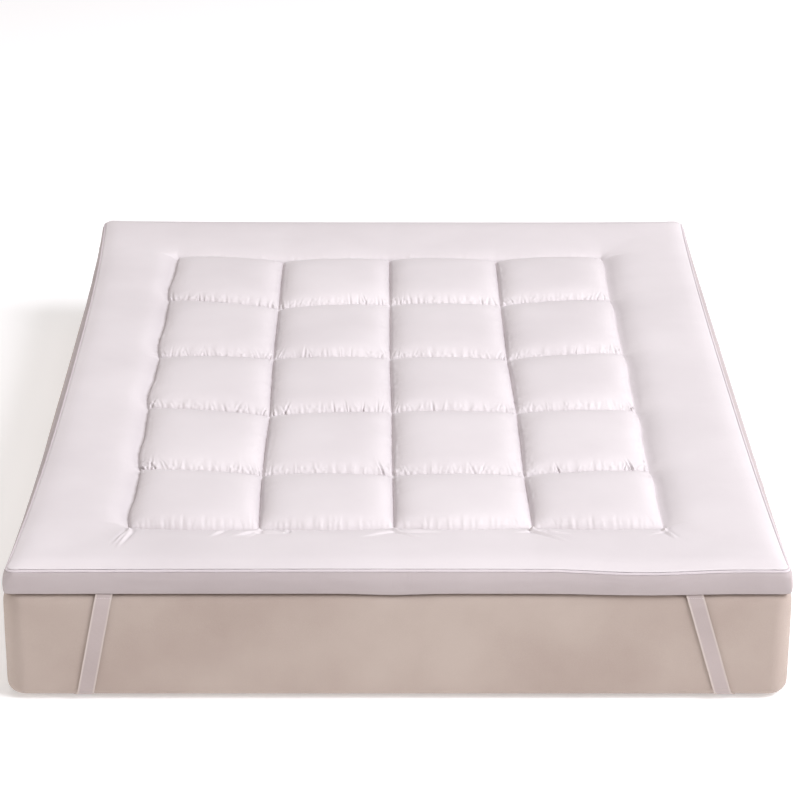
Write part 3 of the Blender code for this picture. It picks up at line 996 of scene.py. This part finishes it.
def gather_cells():
    """Presses the gathers into each cell along its four seams."""
    pick = np.random.default_rng(7)
    depth = np.zeros(cells.numbers.shape)
    for c in range(1, LAST_COLUMN):
        for r in range(1, LAST_ROW):
            block = np.ix_(cells.column == c, cells.row == r)
            width = cells.span_across[block][0, 0]
            length = cells.span_along[block][0, 0]
            across = (cells.u[:, None] * cells.span_across)[block]
            along = (cells.v[None, :] * cells.span_along)[block]
            foot_strength = FOOT_GATHERS * (FRONT_ROW_SHARE if r == 1 else 1.0)
            # Distance along a seam and away from it, the seam's length and its gathers' depth.
            seams = (
                (across, along, width, foot_strength),
                (across, length - along, width, HEAD_GATHERS),
                (along, across, length, SIDE_GATHERS),
                (along, width - across, length, SIDE_GATHERS),
            )
            total = np.zeros(across.shape)
            for place, away, seam_length, strength in seams:
                near = away < GATHER_ZONE
                total[near] += gathers(place[near], away[near], seam_length, strength, pick)
            inner_x = np.minimum(across, width - across)
            inner_y = np.minimum(along, length - along)
            fade = share_past(inner_x, 0, GATHER_EDGE) * share_past(inner_y, 0, GATHER_EDGE)
            depth[block] = total * fade
    press_in(cells, depth)


def part_puffs(grid):
    """Keeps each puff on its own side of the seams round it."""
    columns, rows = grid.sewn_lines()
    for left, right in zip(columns, columns[1:]):
        x = grid.place[left + 1 : right, :, 0]
        low = grid.place[left, :, 0] + SEAM_GAP
        high = grid.place[right, :, 0] - SEAM_GAP
        grid.place[left + 1 : right, :, 0] = np.clip(x, low, high)
    for near, far in zip(rows, rows[1:]):
        y = grid.place[:, near + 1 : far, 1]
        low = grid.place[:, near, 1][:, None] + SEAM_GAP
        high = grid.place[:, far, 1][:, None] - SEAM_GAP
        grid.place[:, near + 1 : far, 1] = np.clip(y, low, high)


# Creases in the border. Each starts at a place on the foot seam, turns where the cloth
# rises out of the seam, and ends out on the border. Its half width and its depth come last, and
# a depth below nothing is a ridge.
CREASE_ROOTS = {
    "first crossing": (-0.532, -0.797),
    "second crossing": (-0.275, -0.802),
    "third crossing": (-0.007, -0.798),
    "fourth crossing": (0.268, -0.795),
    "fifth crossing": (0.529, -0.795),
    "first cell": (-0.338, -0.812),
    "second cell": (-0.207, -0.810),
}
BORDER_CREASES = (
    ("first crossing", (-0.530, -0.828), (-0.553, -0.902), 0.0033, -0.0051),
    ("first crossing", (-0.526, -0.834), (-0.546, -0.914), 0.0031, -0.0046),
    ("second crossing", (-0.273, -0.829), (-0.327, -0.859), 0.0035, -0.0046),
    ("second crossing", (-0.276, -0.836), (-0.302, -0.867), 0.0033, -0.0020),
    ("first cell", (-0.350, -0.836), (-0.371, -0.865), 0.0033, -0.0035),
    ("second crossing", (-0.271, -0.832), (-0.212, -0.846), 0.0035, -0.0039),
    ("second cell", (-0.211, -0.820), (-0.219, -0.852), 0.0029, 0.0050),
    ("third crossing", (-0.010, -0.832), (-0.075, -0.862), 0.0033, -0.0032),
    ("third crossing", (-0.002, -0.832), (0.046, -0.868), 0.0033, -0.0035),
    ("third crossing", (-0.002, -0.829), (0.095, -0.836), 0.0039, -0.0032),
    ("fourth crossing", (0.266, -0.828), (0.343, -0.847), 0.0033, -0.0051),
    ("fourth crossing", (0.268, -0.832), (0.337, -0.887), 0.0033, -0.0046),
    ("fourth crossing", (0.268, -0.830), (0.330, -0.868), 0.0029, -0.0028),
    ("fourth crossing", (0.264, -0.829), (0.225, -0.836), 0.0033, -0.0028),
    ("fifth crossing", (0.528, -0.826), (0.547, -0.870), 0.0033, -0.0035),
    ("fifth crossing", (0.526, -0.828), (0.494, -0.846), 0.0033, -0.0023),
)

CREASE_RIM = 0.4
# The shares of a crease's length over which it deepens from its root and fades to its tip.
CREASE_ROOT_SHARE = 0.40
CREASE_TIP_SHARE = 0.38


def crease_border():
    """Presses the border's few long creases into it."""
    depth = np.zeros(border.numbers.shape)
    x, y = border.place[..., 0], border.place[..., 1]
    for root, turn, tip, half_width, deep in BORDER_CREASES:
        route = (CREASE_ROOTS[root], turn, tip)
        across = np.ones(x.shape)
        run = np.zeros(x.shape)
        length = 0.0
        for (start_x, start_y), (end_x, end_y) in zip(route, route[1:]):
            span = hypot(end_x - start_x, end_y - start_y)
            along_x, along_y = (end_x - start_x) / span, (end_y - start_y) / span
            along = np.clip((x - start_x) * along_x + (y - start_y) * along_y, 0, span)
            off = np.hypot(x - start_x - along * along_x, y - start_y - along * along_y)
            run = np.where(off < across, length + along, run)
            across = np.minimum(off, across)
            length += span
        share = run / length
        fade = share_past(share, 0, CREASE_ROOT_SHARE) * share_past(1 - share, 0, CREASE_TIP_SHARE)
        depth -= deep * fade * crease_section(across / half_width, CREASE_RIM)
    press_in(border, depth)


# --------------------------------------------------------------------------------------------
# Topper: its pieces
# --------------------------------------------------------------------------------------------
# The cells' body of filling: how far below the crossings it reaches, and the share by which its
# underside is drawn in towards its middle.
CELLS_DEPTH = 0.010
CELLS_INSET = 0.0010


def make_cells(name, first, last):
    """The quilted puffs between two long seams, over one body of filling."""
    start = np.argmax(cells.column == first)
    # The last seam is the next panel's first line, or else the grid's own last one.
    beyond = np.append(np.flatnonzero(cells.column > last), len(cells.column) - 1)[0]
    places = cells.place[start : beyond + 1]
    numbers = np.arange(places.shape[0] * places.shape[1]).reshape(places.shape[:2])
    rim = rim_of(numbers)
    places = places.reshape(-1, 3)
    cut = cells.cut[start : beyond + 1].reshape(-1, 2)
    lower = places[rim].copy()
    middle = (lower[:, :2].min(axis=0) + lower[:, :2].max(axis=0)) / 2
    lower[:, :2] += (middle - lower[:, :2]) * CELLS_INSET
    lower[:, 2] = CROSSING_HEIGHT - CELLS_DEPTH
    lower_ring = len(places) + np.arange(len(rim))
    faces = grid_quads(numbers).reshape(-1, 4).tolist()
    faces += ring_quads(lower_ring, rim) + [lower_ring.tolist()]
    return piece_from(name, np.vstack([places, lower]), faces, np.vstack([cut, cut[rim]]))


WALL_GATHERS = 0.0009
# The wall's gathers fade out over this much above the topper's underside.
WALL_GATHER_FADE = 0.02
# How sharply the wall's bulge changes towards a corner.
WALL_CORNER_POWER = 2.8


def wall_rings(line):
    """Rings of the boxed wall from the piping's seat down to the topper's underside."""
    middles = np.array([middle for middle, _ in line])
    outwards = np.array([outward for _, outward in line])
    rings = []
    for angle in PIPING_SEAT[1:]:
        seat = outwards * cos(angle) + UPWARD * sin(angle)
        rings.append(middles + seat * PIPING_SEAT_RADIUS)
    from_middle = np.maximum(
        abs(middles[:, 0]) / TOPPER_HALF_WIDTH * abs(outwards[:, 1]),
        abs(middles[:, 1]) / TOPPER_HALF_LENGTH * abs(outwards[:, 0]),
    )
    corner_share = np.minimum(from_middle, 1.0) ** WALL_CORNER_POWER
    side_share = abs(outwards[:, 0])
    levels = smooth_line(WALL_LEVELS, 2)
    around = distances_along(middles)
    creases = wall_crease_table(around[-1])
    below = middles[:, 2].mean() - PAD_BOTTOM - levels[:, 0]
    along, down = np.meshgrid(around, np.maximum(below, 0.0), indexing="ij")
    puckers = gathers(along, down, around[-1], WALL_GATHERS, np.random.default_rng(23))
    for i, (height, corner_bulge, end_bulge, side_bulge) in enumerate(levels):
        middle_bulge = end_bulge + (side_bulge - end_bulge) * side_share
        bulge = middle_bulge + (corner_bulge - middle_bulge) * corner_share
        bulge += puckers[:, i] * share_past(height, 0, WALL_GATHER_FADE)
        bulge += wall_creases(around, height, creases)
        ring = middles + outwards * bulge[:, None]
        share = height / (PIPING_HEIGHT - PAD_BOTTOM)
        ring[:, 2] = PAD_BOTTOM + share * (middles[:, 2] - PAD_BOTTOM)
        ring[:, 2] -= foot_sag(ring[:, 0], ring[:, 1]) * (1 - share)
        rings.append(ring)
    return rings


# Soft creases along the boxed wall. Each one's own values are picked between two.
WALL_CREASE_COUNT = 64
WALL_CREASE_WIDTH = 0.0032
WALL_CREASE_SHIFT = (-0.4, 0.4)
WALL_CREASE_HEIGHT = (0.010, 0.036)
WALL_CREASE_HALF = (0.020, 0.070)
WALL_CREASE_SLOPE = (-0.22, 0.22)
WALL_CREASE_DEPTH = (0.0004, 0.0013)
WALL_RIDGE_SHARE = 0.6
# The stretch of the wall's height that has them, and how far into it they fade in from each end.
WALL_CREASE_BOTTOM, WALL_CREASE_BOTTOM_FADE = 0.002, 0.006
WALL_CREASE_TOP, WALL_CREASE_TOP_FADE = 0.043, 0.005


def wall_crease_table(length):
    """Each crease's place round the wall, height, half length, slope and depth."""
    pick = np.random.default_rng(11)
    own_values = (WALL_CREASE_HEIGHT, WALL_CREASE_HALF, WALL_CREASE_SLOPE, WALL_CREASE_DEPTH)
    rows = []
    for i in range(WALL_CREASE_COUNT):
        place = (i + pick.uniform(*WALL_CREASE_SHIFT)) * length / WALL_CREASE_COUNT
        rows.append((place, *(pick.uniform(*between) for between in own_values)))
    return rows


def wall_creases(around, height, creases):
    """How far the wall stands in or out at a height, at each distance round the topper."""
    depth = np.zeros(len(around))
    for place, middle, half, slope, deep in creases:
        along = around - place
        off = height - middle - slope * along
        valley = bell(off, WALL_CREASE_WIDTH)
        ridge = WALL_RIDGE_SHARE * bell(off - 2 * WALL_CREASE_WIDTH, WALL_CREASE_WIDTH)
        depth += deep * (ridge - valley) * np.exp(-((along / half) ** 4))
    fade = share_past(height, WALL_CREASE_BOTTOM, WALL_CREASE_BOTTOM_FADE)
    return depth * fade * share_past(-height, -WALL_CREASE_TOP, WALL_CREASE_TOP_FADE)


# How far below the crossings the border's floor lies under the cells.
TRAY_DEPTH = 0.014


def make_border(line):
    """The plain border, the boxed wall under it and the underside, round the quilted middle."""
    places = border.place.reshape(-1, 3)
    cut = border.cut.reshape(-1, 2)
    quads = border.quads(border_share(border))
    used = np.unique(quads)
    number_of = renumbered(used, border.numbers.size)
    points = [places[used]]
    flats = [cut[used]]
    faces = number_of[quads].tolist()
    total = len(used)
    ring = number_of[border.rim()]
    last = places[border.rim()]
    rim_cut = cut[border.rim()]
    outwards = np.array([outward for _, outward in line])[:, :2]
    fall = 0.0
    for ring_places in wall_rings(line):
        numbers = np.arange(total, total + len(ring_places))
        total += len(ring_places)
        fall += float(np.linalg.norm(ring_places - last, axis=1).mean())
        last = ring_places
        points.append(ring_places)
        flats.append(rim_cut + outwards * fall)
        faces += ring_quads(ring, numbers)
        ring = numbers
    faces.append(ring[::-1].tolist())

    inner_rim = quilted_rim(border)
    floor = places[inner_rim].copy()
    floor[:, 2] = CROSSING_HEIGHT - TRAY_DEPTH
    numbers = np.arange(total, total + len(floor))
    points.append(floor)
    flats.append(cut[inner_rim])
    faces += ring_quads(numbers, number_of[inner_rim])
    faces.append(numbers.tolist())
    piece = piece_from("topper_border", np.vstack(points), faces, np.vstack(flats))
    # The wall and the underside take the second material, the wall cloth darkened with painted
    # shade.
    slots = np.zeros(len(faces), np.int32)
    slots[len(quads) : len(faces) - len(inner_rim) - 1] = 1
    piece.data.polygons.foreach_set("material_index", slots)
    return piece


fill_topper()
refine(filling_cells, cells)
refine(filling_border, border)
firm_up(cells, CELL_FIRMNESS, CELL_TOP)
firm_up(border, BORDER_FIRMNESS, BORDER_TOP)
roll_border()
roll_edge()
gather_cells()
part_puffs(cells)
crease_border()
pinch_seams(cells, True)
pinch_seams(border, False)
piping_line = seat_rim(border)
topper_cells_left = make_cells("topper_cells_left", 1, 2)
topper_cells_right = make_cells("topper_cells_right", 3, 4)
topper_border = make_border(piping_line)
for piece in (topper_cells_left, topper_cells_right, topper_border):
    piece.data.materials.append(cover_cloth)
    piece.data.materials.append(shaded_wall_cloth)
    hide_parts("topper_pad")
    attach(piece, "root")


# --------------------------------------------------------------------------------------------
# Piping
# --------------------------------------------------------------------------------------------
PIPING_STEP = 0.004
PIPING_SIDES = 12
CORNER_WALK_STEPS = 6
# How uneven the cord is, and how many uneven places a metre of it has: in its line and thickness.
PIPING_UNEVEN = 0.00035
PIPING_SWAY_SCALE = 22.0
PIPING_LUMP_SCALE = 110.0
OTHER_NOISE = Vector((9, 4, 2))


def walk_side(half, step):
    """Places along one side of the flat-cut rectangle, closer together at its corners."""
    straight = half - TOPPER_CORNER
    count = round(2 * straight / step)
    turn = [TOPPER_CORNER * i / CORNER_WALK_STEPS for i in range(CORNER_WALK_STEPS)]
    places = [-half + inset for inset in turn]
    places += [-straight + 2 * straight * i / count for i in range(count + 1)]
    return places + [half - inset for inset in turn[:0:-1]]


def edge_walk(step):
    """Points of the flat-cut rectangle in order round it."""
    half_x, half_y = TOPPER_HALF_WIDTH, TOPPER_HALF_LENGTH
    walk = [(half_x, y) for y in walk_side(half_y, step)]
    walk += [(-x, half_y) for x in walk_side(half_x, step)]
    walk += [(-half_x, -y) for y in walk_side(half_y, step)]
    walk += [(x, -half_y) for x in walk_side(half_x, step)]
    return walk


def make_piping():
    """The thin cloth-covered cord in the top edge, a little uneven as sewn piping is."""
    points, flats, faces = [], [], []
    angles = 2 * pi * np.arange(PIPING_SIDES) / PIPING_SIDES
    walk = edge_walk(PIPING_STEP)
    for i, (x, y) in enumerate(walk):
        middle, outward = edge_point(x, y)
        spot = Vector(middle)
        sway = PIPING_UNEVEN * noise.noise(spot * PIPING_SWAY_SCALE)
        rise = PIPING_UNEVEN * noise.noise(spot * PIPING_SWAY_SCALE + OTHER_NOISE)
        radius = PIPING_RADIUS + PIPING_UNEVEN * noise.noise(spot * PIPING_LUMP_SCALE)
        centre = middle + outward * sway + UPWARD * rise
        for angle in angles:
            points.append(centre + radius * (outward * cos(angle) + UPWARD * sin(angle)))
            flats.append((i * PIPING_STEP, PIPING_RADIUS * angle))
    rows = np.arange(len(points)).reshape(len(walk), PIPING_SIDES)
    for i in range(len(walk)):
        faces += ring_quads(rows[i - 1], rows[i])
    return piece_from("topper_piping_cord", points, faces, flats)


topper_piping = make_piping()
topper_piping.data.materials.append(piping_cloth)
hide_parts("topper_piping")
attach(topper_piping, "root")


# --------------------------------------------------------------------------------------------
# Stitches
# --------------------------------------------------------------------------------------------
STITCH_PITCH = 0.0036
STITCH_LENGTH = 0.0027
STITCH_WIDTH = 0.0008
STITCH_HEIGHT = 0.7 * STITCH_WIDTH
# A stitch is aimed along its line by how the line runs this far to each side of it.
STITCH_AIM = 0.001
QUILTING_STITCH_LIFT = 0.0003
STRAP_STITCH_LIFT = 0.0002


def stitch_form():
    """One stitch, a short round-ended thread along X, as (points, faces)."""
    bpy.ops.object.select_all(action="DESELECT")
    bpy.ops.mesh.primitive_uv_sphere_add(segments=6, ring_count=4, radius=0.5)
    thread = bpy.context.object
    thread.scale = (STITCH_LENGTH, STITCH_WIDTH, STITCH_HEIGHT)
    bpy.ops.object.transform_apply(location=False, rotation=False, scale=True)
    points = np.array([v.co for v in thread.data.vertices])
    faces = [list(face.vertices) for face in thread.data.polygons]
    bpy.data.objects.remove(thread)
    return points, faces


STITCH_POINTS, STITCH_FACES = stitch_form()


def stitches_along(line):
    """Places of the stitches along a line of points, and which way each runs."""
    walked = distances_along(line)
    at = np.arange(STITCH_PITCH / 2, walked[-1], STITCH_PITCH)
    behind, middles, ahead = (
        np.stack([np.interp(at + shift, walked, line[:, k]) for k in range(3)], -1)
        for shift in (-STITCH_AIM, 0, STITCH_AIM)
    )
    forward = ahead - behind
    return middles, forward / np.linalg.norm(forward, axis=1, keepdims=True)


def make_stitches(name, lines, lift):
    """Stitches along each of the lines, as one piece."""
    points, faces = [], []
    total = 0
    for line in lines:
        for middle, forward in zip(*stitches_along(np.asarray(line))):
            side = np.cross(UPWARD, forward)
            side /= np.linalg.norm(side)
            top = np.cross(forward, side)
            turn = np.stack([forward, side, top])
            points.append(STITCH_POINTS @ turn + middle + top * lift)
            faces += [[number + total for number in face] for face in STITCH_FACES]
            total += len(STITCH_POINTS)
    places = np.vstack(points)
    return piece_from(name, places, faces, places[:, :2], sharp=180)


def seam_lines():
    """The quilting seams as lines of points, from the filled cells' own sewn lines."""
    columns, rows = cells.sewn_lines()
    return [*cells.place[columns], *(cells.place[:, row] for row in rows)]


quilting_stitches = make_stitches("quilting_stitches", seam_lines(), QUILTING_STITCH_LIFT)
quilting_stitches.data.materials.append(thread_cloth)
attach(quilting_stitches, "root")


# --------------------------------------------------------------------------------------------
# Mattress
# --------------------------------------------------------------------------------------------
MATTRESS_STEP = 0.022
MATTRESS_CORNER_STEPS = 14
# Its wall's dents, whose noise has a coarse part and a finer one: times a metre, and how strong.
DENT_DEPTH = 0.0007
DENT_NOISE = ((3.2, 0.5), (9.0, 0.3))
DENT_STRETCH = 1.6
DENT_START, DENT_FADE = 0.012, 0.03
# The top edge dips with the topper, from this height on.
DIP_START, DIP_FADE = 0.19, 0.03


def mattress_outline(inset, corner):
    """Points round one level of the mattress, and which way each faces, as rows of four."""
    turns = radians(90) * np.arange(MATTRESS_CORNER_STEPS + 1) / MATTRESS_CORNER_STEPS
    half_x = MATTRESS_HALF_WIDTH - inset - corner
    half_y = MATTRESS_HALF_LENGTH - inset - corner
    arcs = []
    for quarter, (sign_x, sign_y) in enumerate(((1, 1), (-1, 1), (-1, -1), (1, -1))):
        angles = radians(90) * quarter + turns
        facing = np.stack([np.cos(angles), np.sin(angles)], -1)
        arcs.append(np.hstack([facing * corner + (sign_x * half_x, sign_y * half_y), facing]))
    rows = []
    for quarter, arc in enumerate(arcs):
        reach = (MATTRESS_HALF_WIDTH, MATTRESS_HALF_LENGTH)[quarter % 2]
        count = round(2 * reach / MATTRESS_STEP)
        shares = np.arange(1, count)[:, None] / count
        next_start = arcs[(quarter + 1) % 4][0]
        rows += [arc, arc[-1] + (next_start - arc[-1]) * shares]
    return np.vstack(rows)


def make_mattress():
    """The plain mattress: a soft filled block whose walls are slightly dented."""
    rings = []
    levels = smooth_line(MATTRESS_LEVELS, 5)
    for height, inset in levels:
        corner = max(MATTRESS_CORNER - inset, MATTRESS_INNER_CORNER)
        outline = mattress_outline(inset, corner)
        ring = np.column_stack([outline[:, :2], np.full(len(outline), max(height, 0.0))])
        dip = share_past(height, DIP_START, DIP_FADE)
        ring[:, 2] -= foot_sag(ring[:, 0], ring[:, 1]) * dip
        wall = share_past(height, DENT_START, DENT_FADE)
        for i, (x, y, out_x, out_y) in enumerate(outline):
            spot = Vector((x, y, height * DENT_STRETCH))
            dent = 0.5
            for scale, strength in DENT_NOISE:
                dent += strength * noise.noise(spot * scale)
            push = -DENT_DEPTH * min(max(dent, 0.0), 1.0) * wall
            ring[i, :2] += (out_x * push, out_y * push)
        rings.append(ring)
    count = len(rings[0])
    faces = [list(range(count))[::-1]]
    faces += tube_quads(len(rings), count)
    faces.append(list(range((len(rings) - 1) * count, len(rings) * count)))
    walked = np.tile(np.arange(count) * MATTRESS_STEP, len(rings))
    fallen = np.repeat(levels[:, 0] + levels[:, 1], count)
    return piece_from("mattress_body", np.vstack(rings), faces, np.column_stack([walked, fallen]))


mattress_body = make_mattress()
mattress_body.data.materials.append(mattress_cloth)
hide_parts("mattress")
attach(mattress_body, "root")


# --------------------------------------------------------------------------------------------
# Straps
# --------------------------------------------------------------------------------------------
STRAP_COLUMNS = 16
# Each selvedge is a low bead: its height, and its width as a share of the strap's.
SELVEDGE_RISE = 0.0003
SELVEDGE_SHARE = 0.05
# The section that carries the stitches that sew a strap to the topper, and how far in from the
# strap's edges they start, as a share of its width.
STRAP_SEAM = 6
STRAP_SEAM_INSET = 0.06


def strap_wall(top_distance, bottom_distance):
    """The strap down one wall and round to the underside, which it reaches at 45 degrees.

    Each row is the distance of its two edges from the mattress's corner, how far outside the
    widest level and how high its middle lies, and the two parts of its outward normal.
    """
    fall = smooth_line(STRAP_FALL, 4)
    lengths = distances_along(fall)
    lean = (top_distance - bottom_distance) / lengths[-1]
    turn_start = lengths[np.argmax(fall[:, 1] < STRAP_TURN_HEIGHT)]
    turn_length = lengths[-1] - turn_start
    rows = []
    for i, (out, height) in enumerate(fall):
        turned = max(lengths[i] - turn_start, 0.0) / turn_length
        slope = lean + (1 - lean) * turned
        middle = top_distance - lean * lengths[i] - (1 - lean) * turn_length * turned**2 / 2
        half = STRAP_WIDTH / 2 * hypot(1, slope)
        step = fall[min(i + 1, len(fall) - 1)] - fall[max(i - 1, 0)]
        step /= np.linalg.norm(step)
        away, up = (-step[1], step[0]) if turned < 1 else (0.0, -1.0)
        rows.append((middle - half, middle + half, out, height, away, up))
    return rows


def strap_sections(to_right, to_head, end_wall, side_wall):
    """Each section of a strap: its two edges' places and its outward normal."""
    end_sections, side_sections = [], []
    for near, far, out, height, away, up in strap_wall(*end_wall):
        normal = np.array([0, to_head * away, up])
        y = to_head * (MATTRESS_HALF_LENGTH + out)
        edges = [np.array([to_right * (MATTRESS_HALF_WIDTH - e), y, height]) for e in (near, far)]
        end_sections.append((*edges, normal))
    for near, far, out, height, away, up in strap_wall(*side_wall):
        normal = np.array([to_right * away, 0, up])
        x = to_right * (MATTRESS_HALF_WIDTH + out)
        edges = [np.array([x, to_head * (MATTRESS_HALF_LENGTH - e), height]) for e in (near, far)]
        side_sections.append((*edges, normal))
    return end_sections + side_sections[::-1]


def make_strap(name, sections):
    """A woven elastic band with a bead along each selvedge."""
    shares = np.linspace(0, 1, STRAP_COLUMNS + 1)
    bead = SELVEDGE_RISE * (bell(shares, SELVEDGE_SHARE) + bell(1 - shares, SELVEDGE_SHARE))
    half = (STRAP_THICKNESS - SELVEDGE_RISE) / 2
    points, flats = [], []
    walked = 0.0
    before = (sections[0][0] + sections[0][1]) / 2
    for near, far, normal in sections:
        middle = (near + far) / 2
        walked += float(np.linalg.norm(middle - before))
        before = middle
        across = near + (far - near) * shares[:, None]
        outer = across + normal * (half + bead)[:, None]
        inner = across - normal * half
        points += [*outer, *inner[::-1]]
        flats += [(share * STRAP_WIDTH, walked) for share in (*shares, *shares[::-1])]
    count = 2 * len(shares)
    faces = tube_quads(len(sections), count)
    faces.append(list(range(count))[::-1])
    faces.append(list(range(len(points) - count, len(points))))
    piece = piece_from(name, points, faces, flats)
    bpy.ops.object.select_all(action="DESELECT")
    bpy.context.view_layer.objects.active = piece
    piece.select_set(True)
    bpy.ops.object.mode_set(mode="EDIT")
    bpy.ops.mesh.select_all(action="SELECT")
    bpy.ops.mesh.normals_make_consistent(inside=False)
    bpy.ops.object.mode_set(mode="OBJECT")
    piece.select_set(False)
    return piece, walked


strap_seams = []
for node, (to_right, to_head, end_wall, side_wall) in STRAPS.items():
    sections = strap_sections(to_right, to_head, end_wall, side_wall)
    strap, strap_length = make_strap(node + "_band", sections)
    for near, far, normal in (sections[STRAP_SEAM], sections[-1 - STRAP_SEAM]):
        lift = normal * STRAP_THICKNESS / 2
        inset = (far - near) * STRAP_SEAM_INSET
        strap_seams.append([near + inset + lift, far - inset + lift])
    strap.data.materials.append(elastic_cloth)
    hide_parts(node)
    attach(strap, "root")


strap_stitches = make_stitches("strap_stitches", strap_seams, STRAP_STITCH_LIFT)
strap_stitches.data.materials.append(thread_cloth)
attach(strap_stitches, "root")


# --------------------------------------------------------------------------------------------
# Floor, light and camera
# --------------------------------------------------------------------------------------------
FLOOR_REACH = 30.0
FLOOR_DROP = 0.0005
FLOOR_COLOUR = (0.86, 0.86, 0.86, 1)
# The floor is a lit studio sweep, so it glows a little by itself.
FLOOR_GLOW = 0.30
ROOM_COLOUR = (1.0, 0.925, 0.885, 1)
ROOM_STRENGTH = 0.25
# Each softbox: its place, what it is aimed at, its side in metres, its watts and its colour.
SOFTBOXES = {
    "key softbox": ((7.8, -3.3, 8.4), (0, 0, 0.2), 5.5, 1215, (0.93, 0.935, 1.0)),
    "overhead softbox": ((0, 0.5, 9.0), (0, 0, 0.2), 7.0, 260, (1.0, 0.96, 0.945)),
    "left fill softbox": ((-9.0, -3.5, 1.6), (0, 0, 0.1), 3.0, 320, (1.0, 0.96, 0.95)),
    "right fill softbox": ((8.5, -4.0, 1.8), (0, 0, 0.1), 3.0, 330, (1.0, 0.97, 0.95)),
}
CAMERA_PLACE = (-0.0352, -5.4766, 2.5588)
CAMERA_TURN = tuple(radians(angle) for angle in (66.7055, -0.2236, -0.3827))
CAMERA_LENS = 118.134
CAMERA_SENSOR_WIDTH = 36.0


def make_floor():
    """The pale floor that the mattress stands on."""
    bpy.ops.object.select_all(action="DESELECT")
    bpy.ops.mesh.primitive_plane_add(size=2 * FLOOR_REACH, location=(0, 0, -FLOOR_DROP))
    floor = bpy.context.object
    floor.name = "floor"
    material, shader = new_material("pale floor", 0.9, 0.0)
    shader.inputs["Base Color"].default_value = FLOOR_COLOUR
    shader.inputs["Emission Color"].default_value = (1, 1, 1, 1)
    shader.inputs["Emission Strength"].default_value = FLOOR_GLOW
    floor.data.materials.append(material)


def make_light():
    """The softboxes, and the room's own faint warm light."""
    world = bpy.data.worlds.new("studio")
    world.use_nodes = True
    bpy.context.scene.world = world
    background = world.node_tree.nodes["Background"]
    background.inputs["Color"].default_value = ROOM_COLOUR
    background.inputs["Strength"].default_value = ROOM_STRENGTH
    for name, (place, target, side, watts, colour) in SOFTBOXES.items():
        light = bpy.data.lights.new(name, "AREA")
        light.color = colour
        light.shape = "SQUARE"
        light.size = side
        light.energy = watts
        lamp = bpy.data.objects.new(name, light)
        bpy.context.scene.collection.objects.link(lamp)
        lamp.location = place
        lamp.rotation_euler = (Vector(target) - Vector(place)).to_track_quat("-Z", "Y").to_euler()
    bpy.context.scene.view_settings.view_transform = "Standard"


def make_camera():
    """The camera where the photo was taken from."""
    camera = bpy.data.cameras.new("camera")
    camera.sensor_width = CAMERA_SENSOR_WIDTH
    camera.lens = CAMERA_LENS
    stand = bpy.data.objects.new("camera", camera)
    bpy.context.scene.collection.objects.link(stand)
    stand.location = CAMERA_PLACE
    stand.rotation_euler = CAMERA_TURN
    bpy.context.scene.camera = stand


make_floor()
make_light()
make_camera()
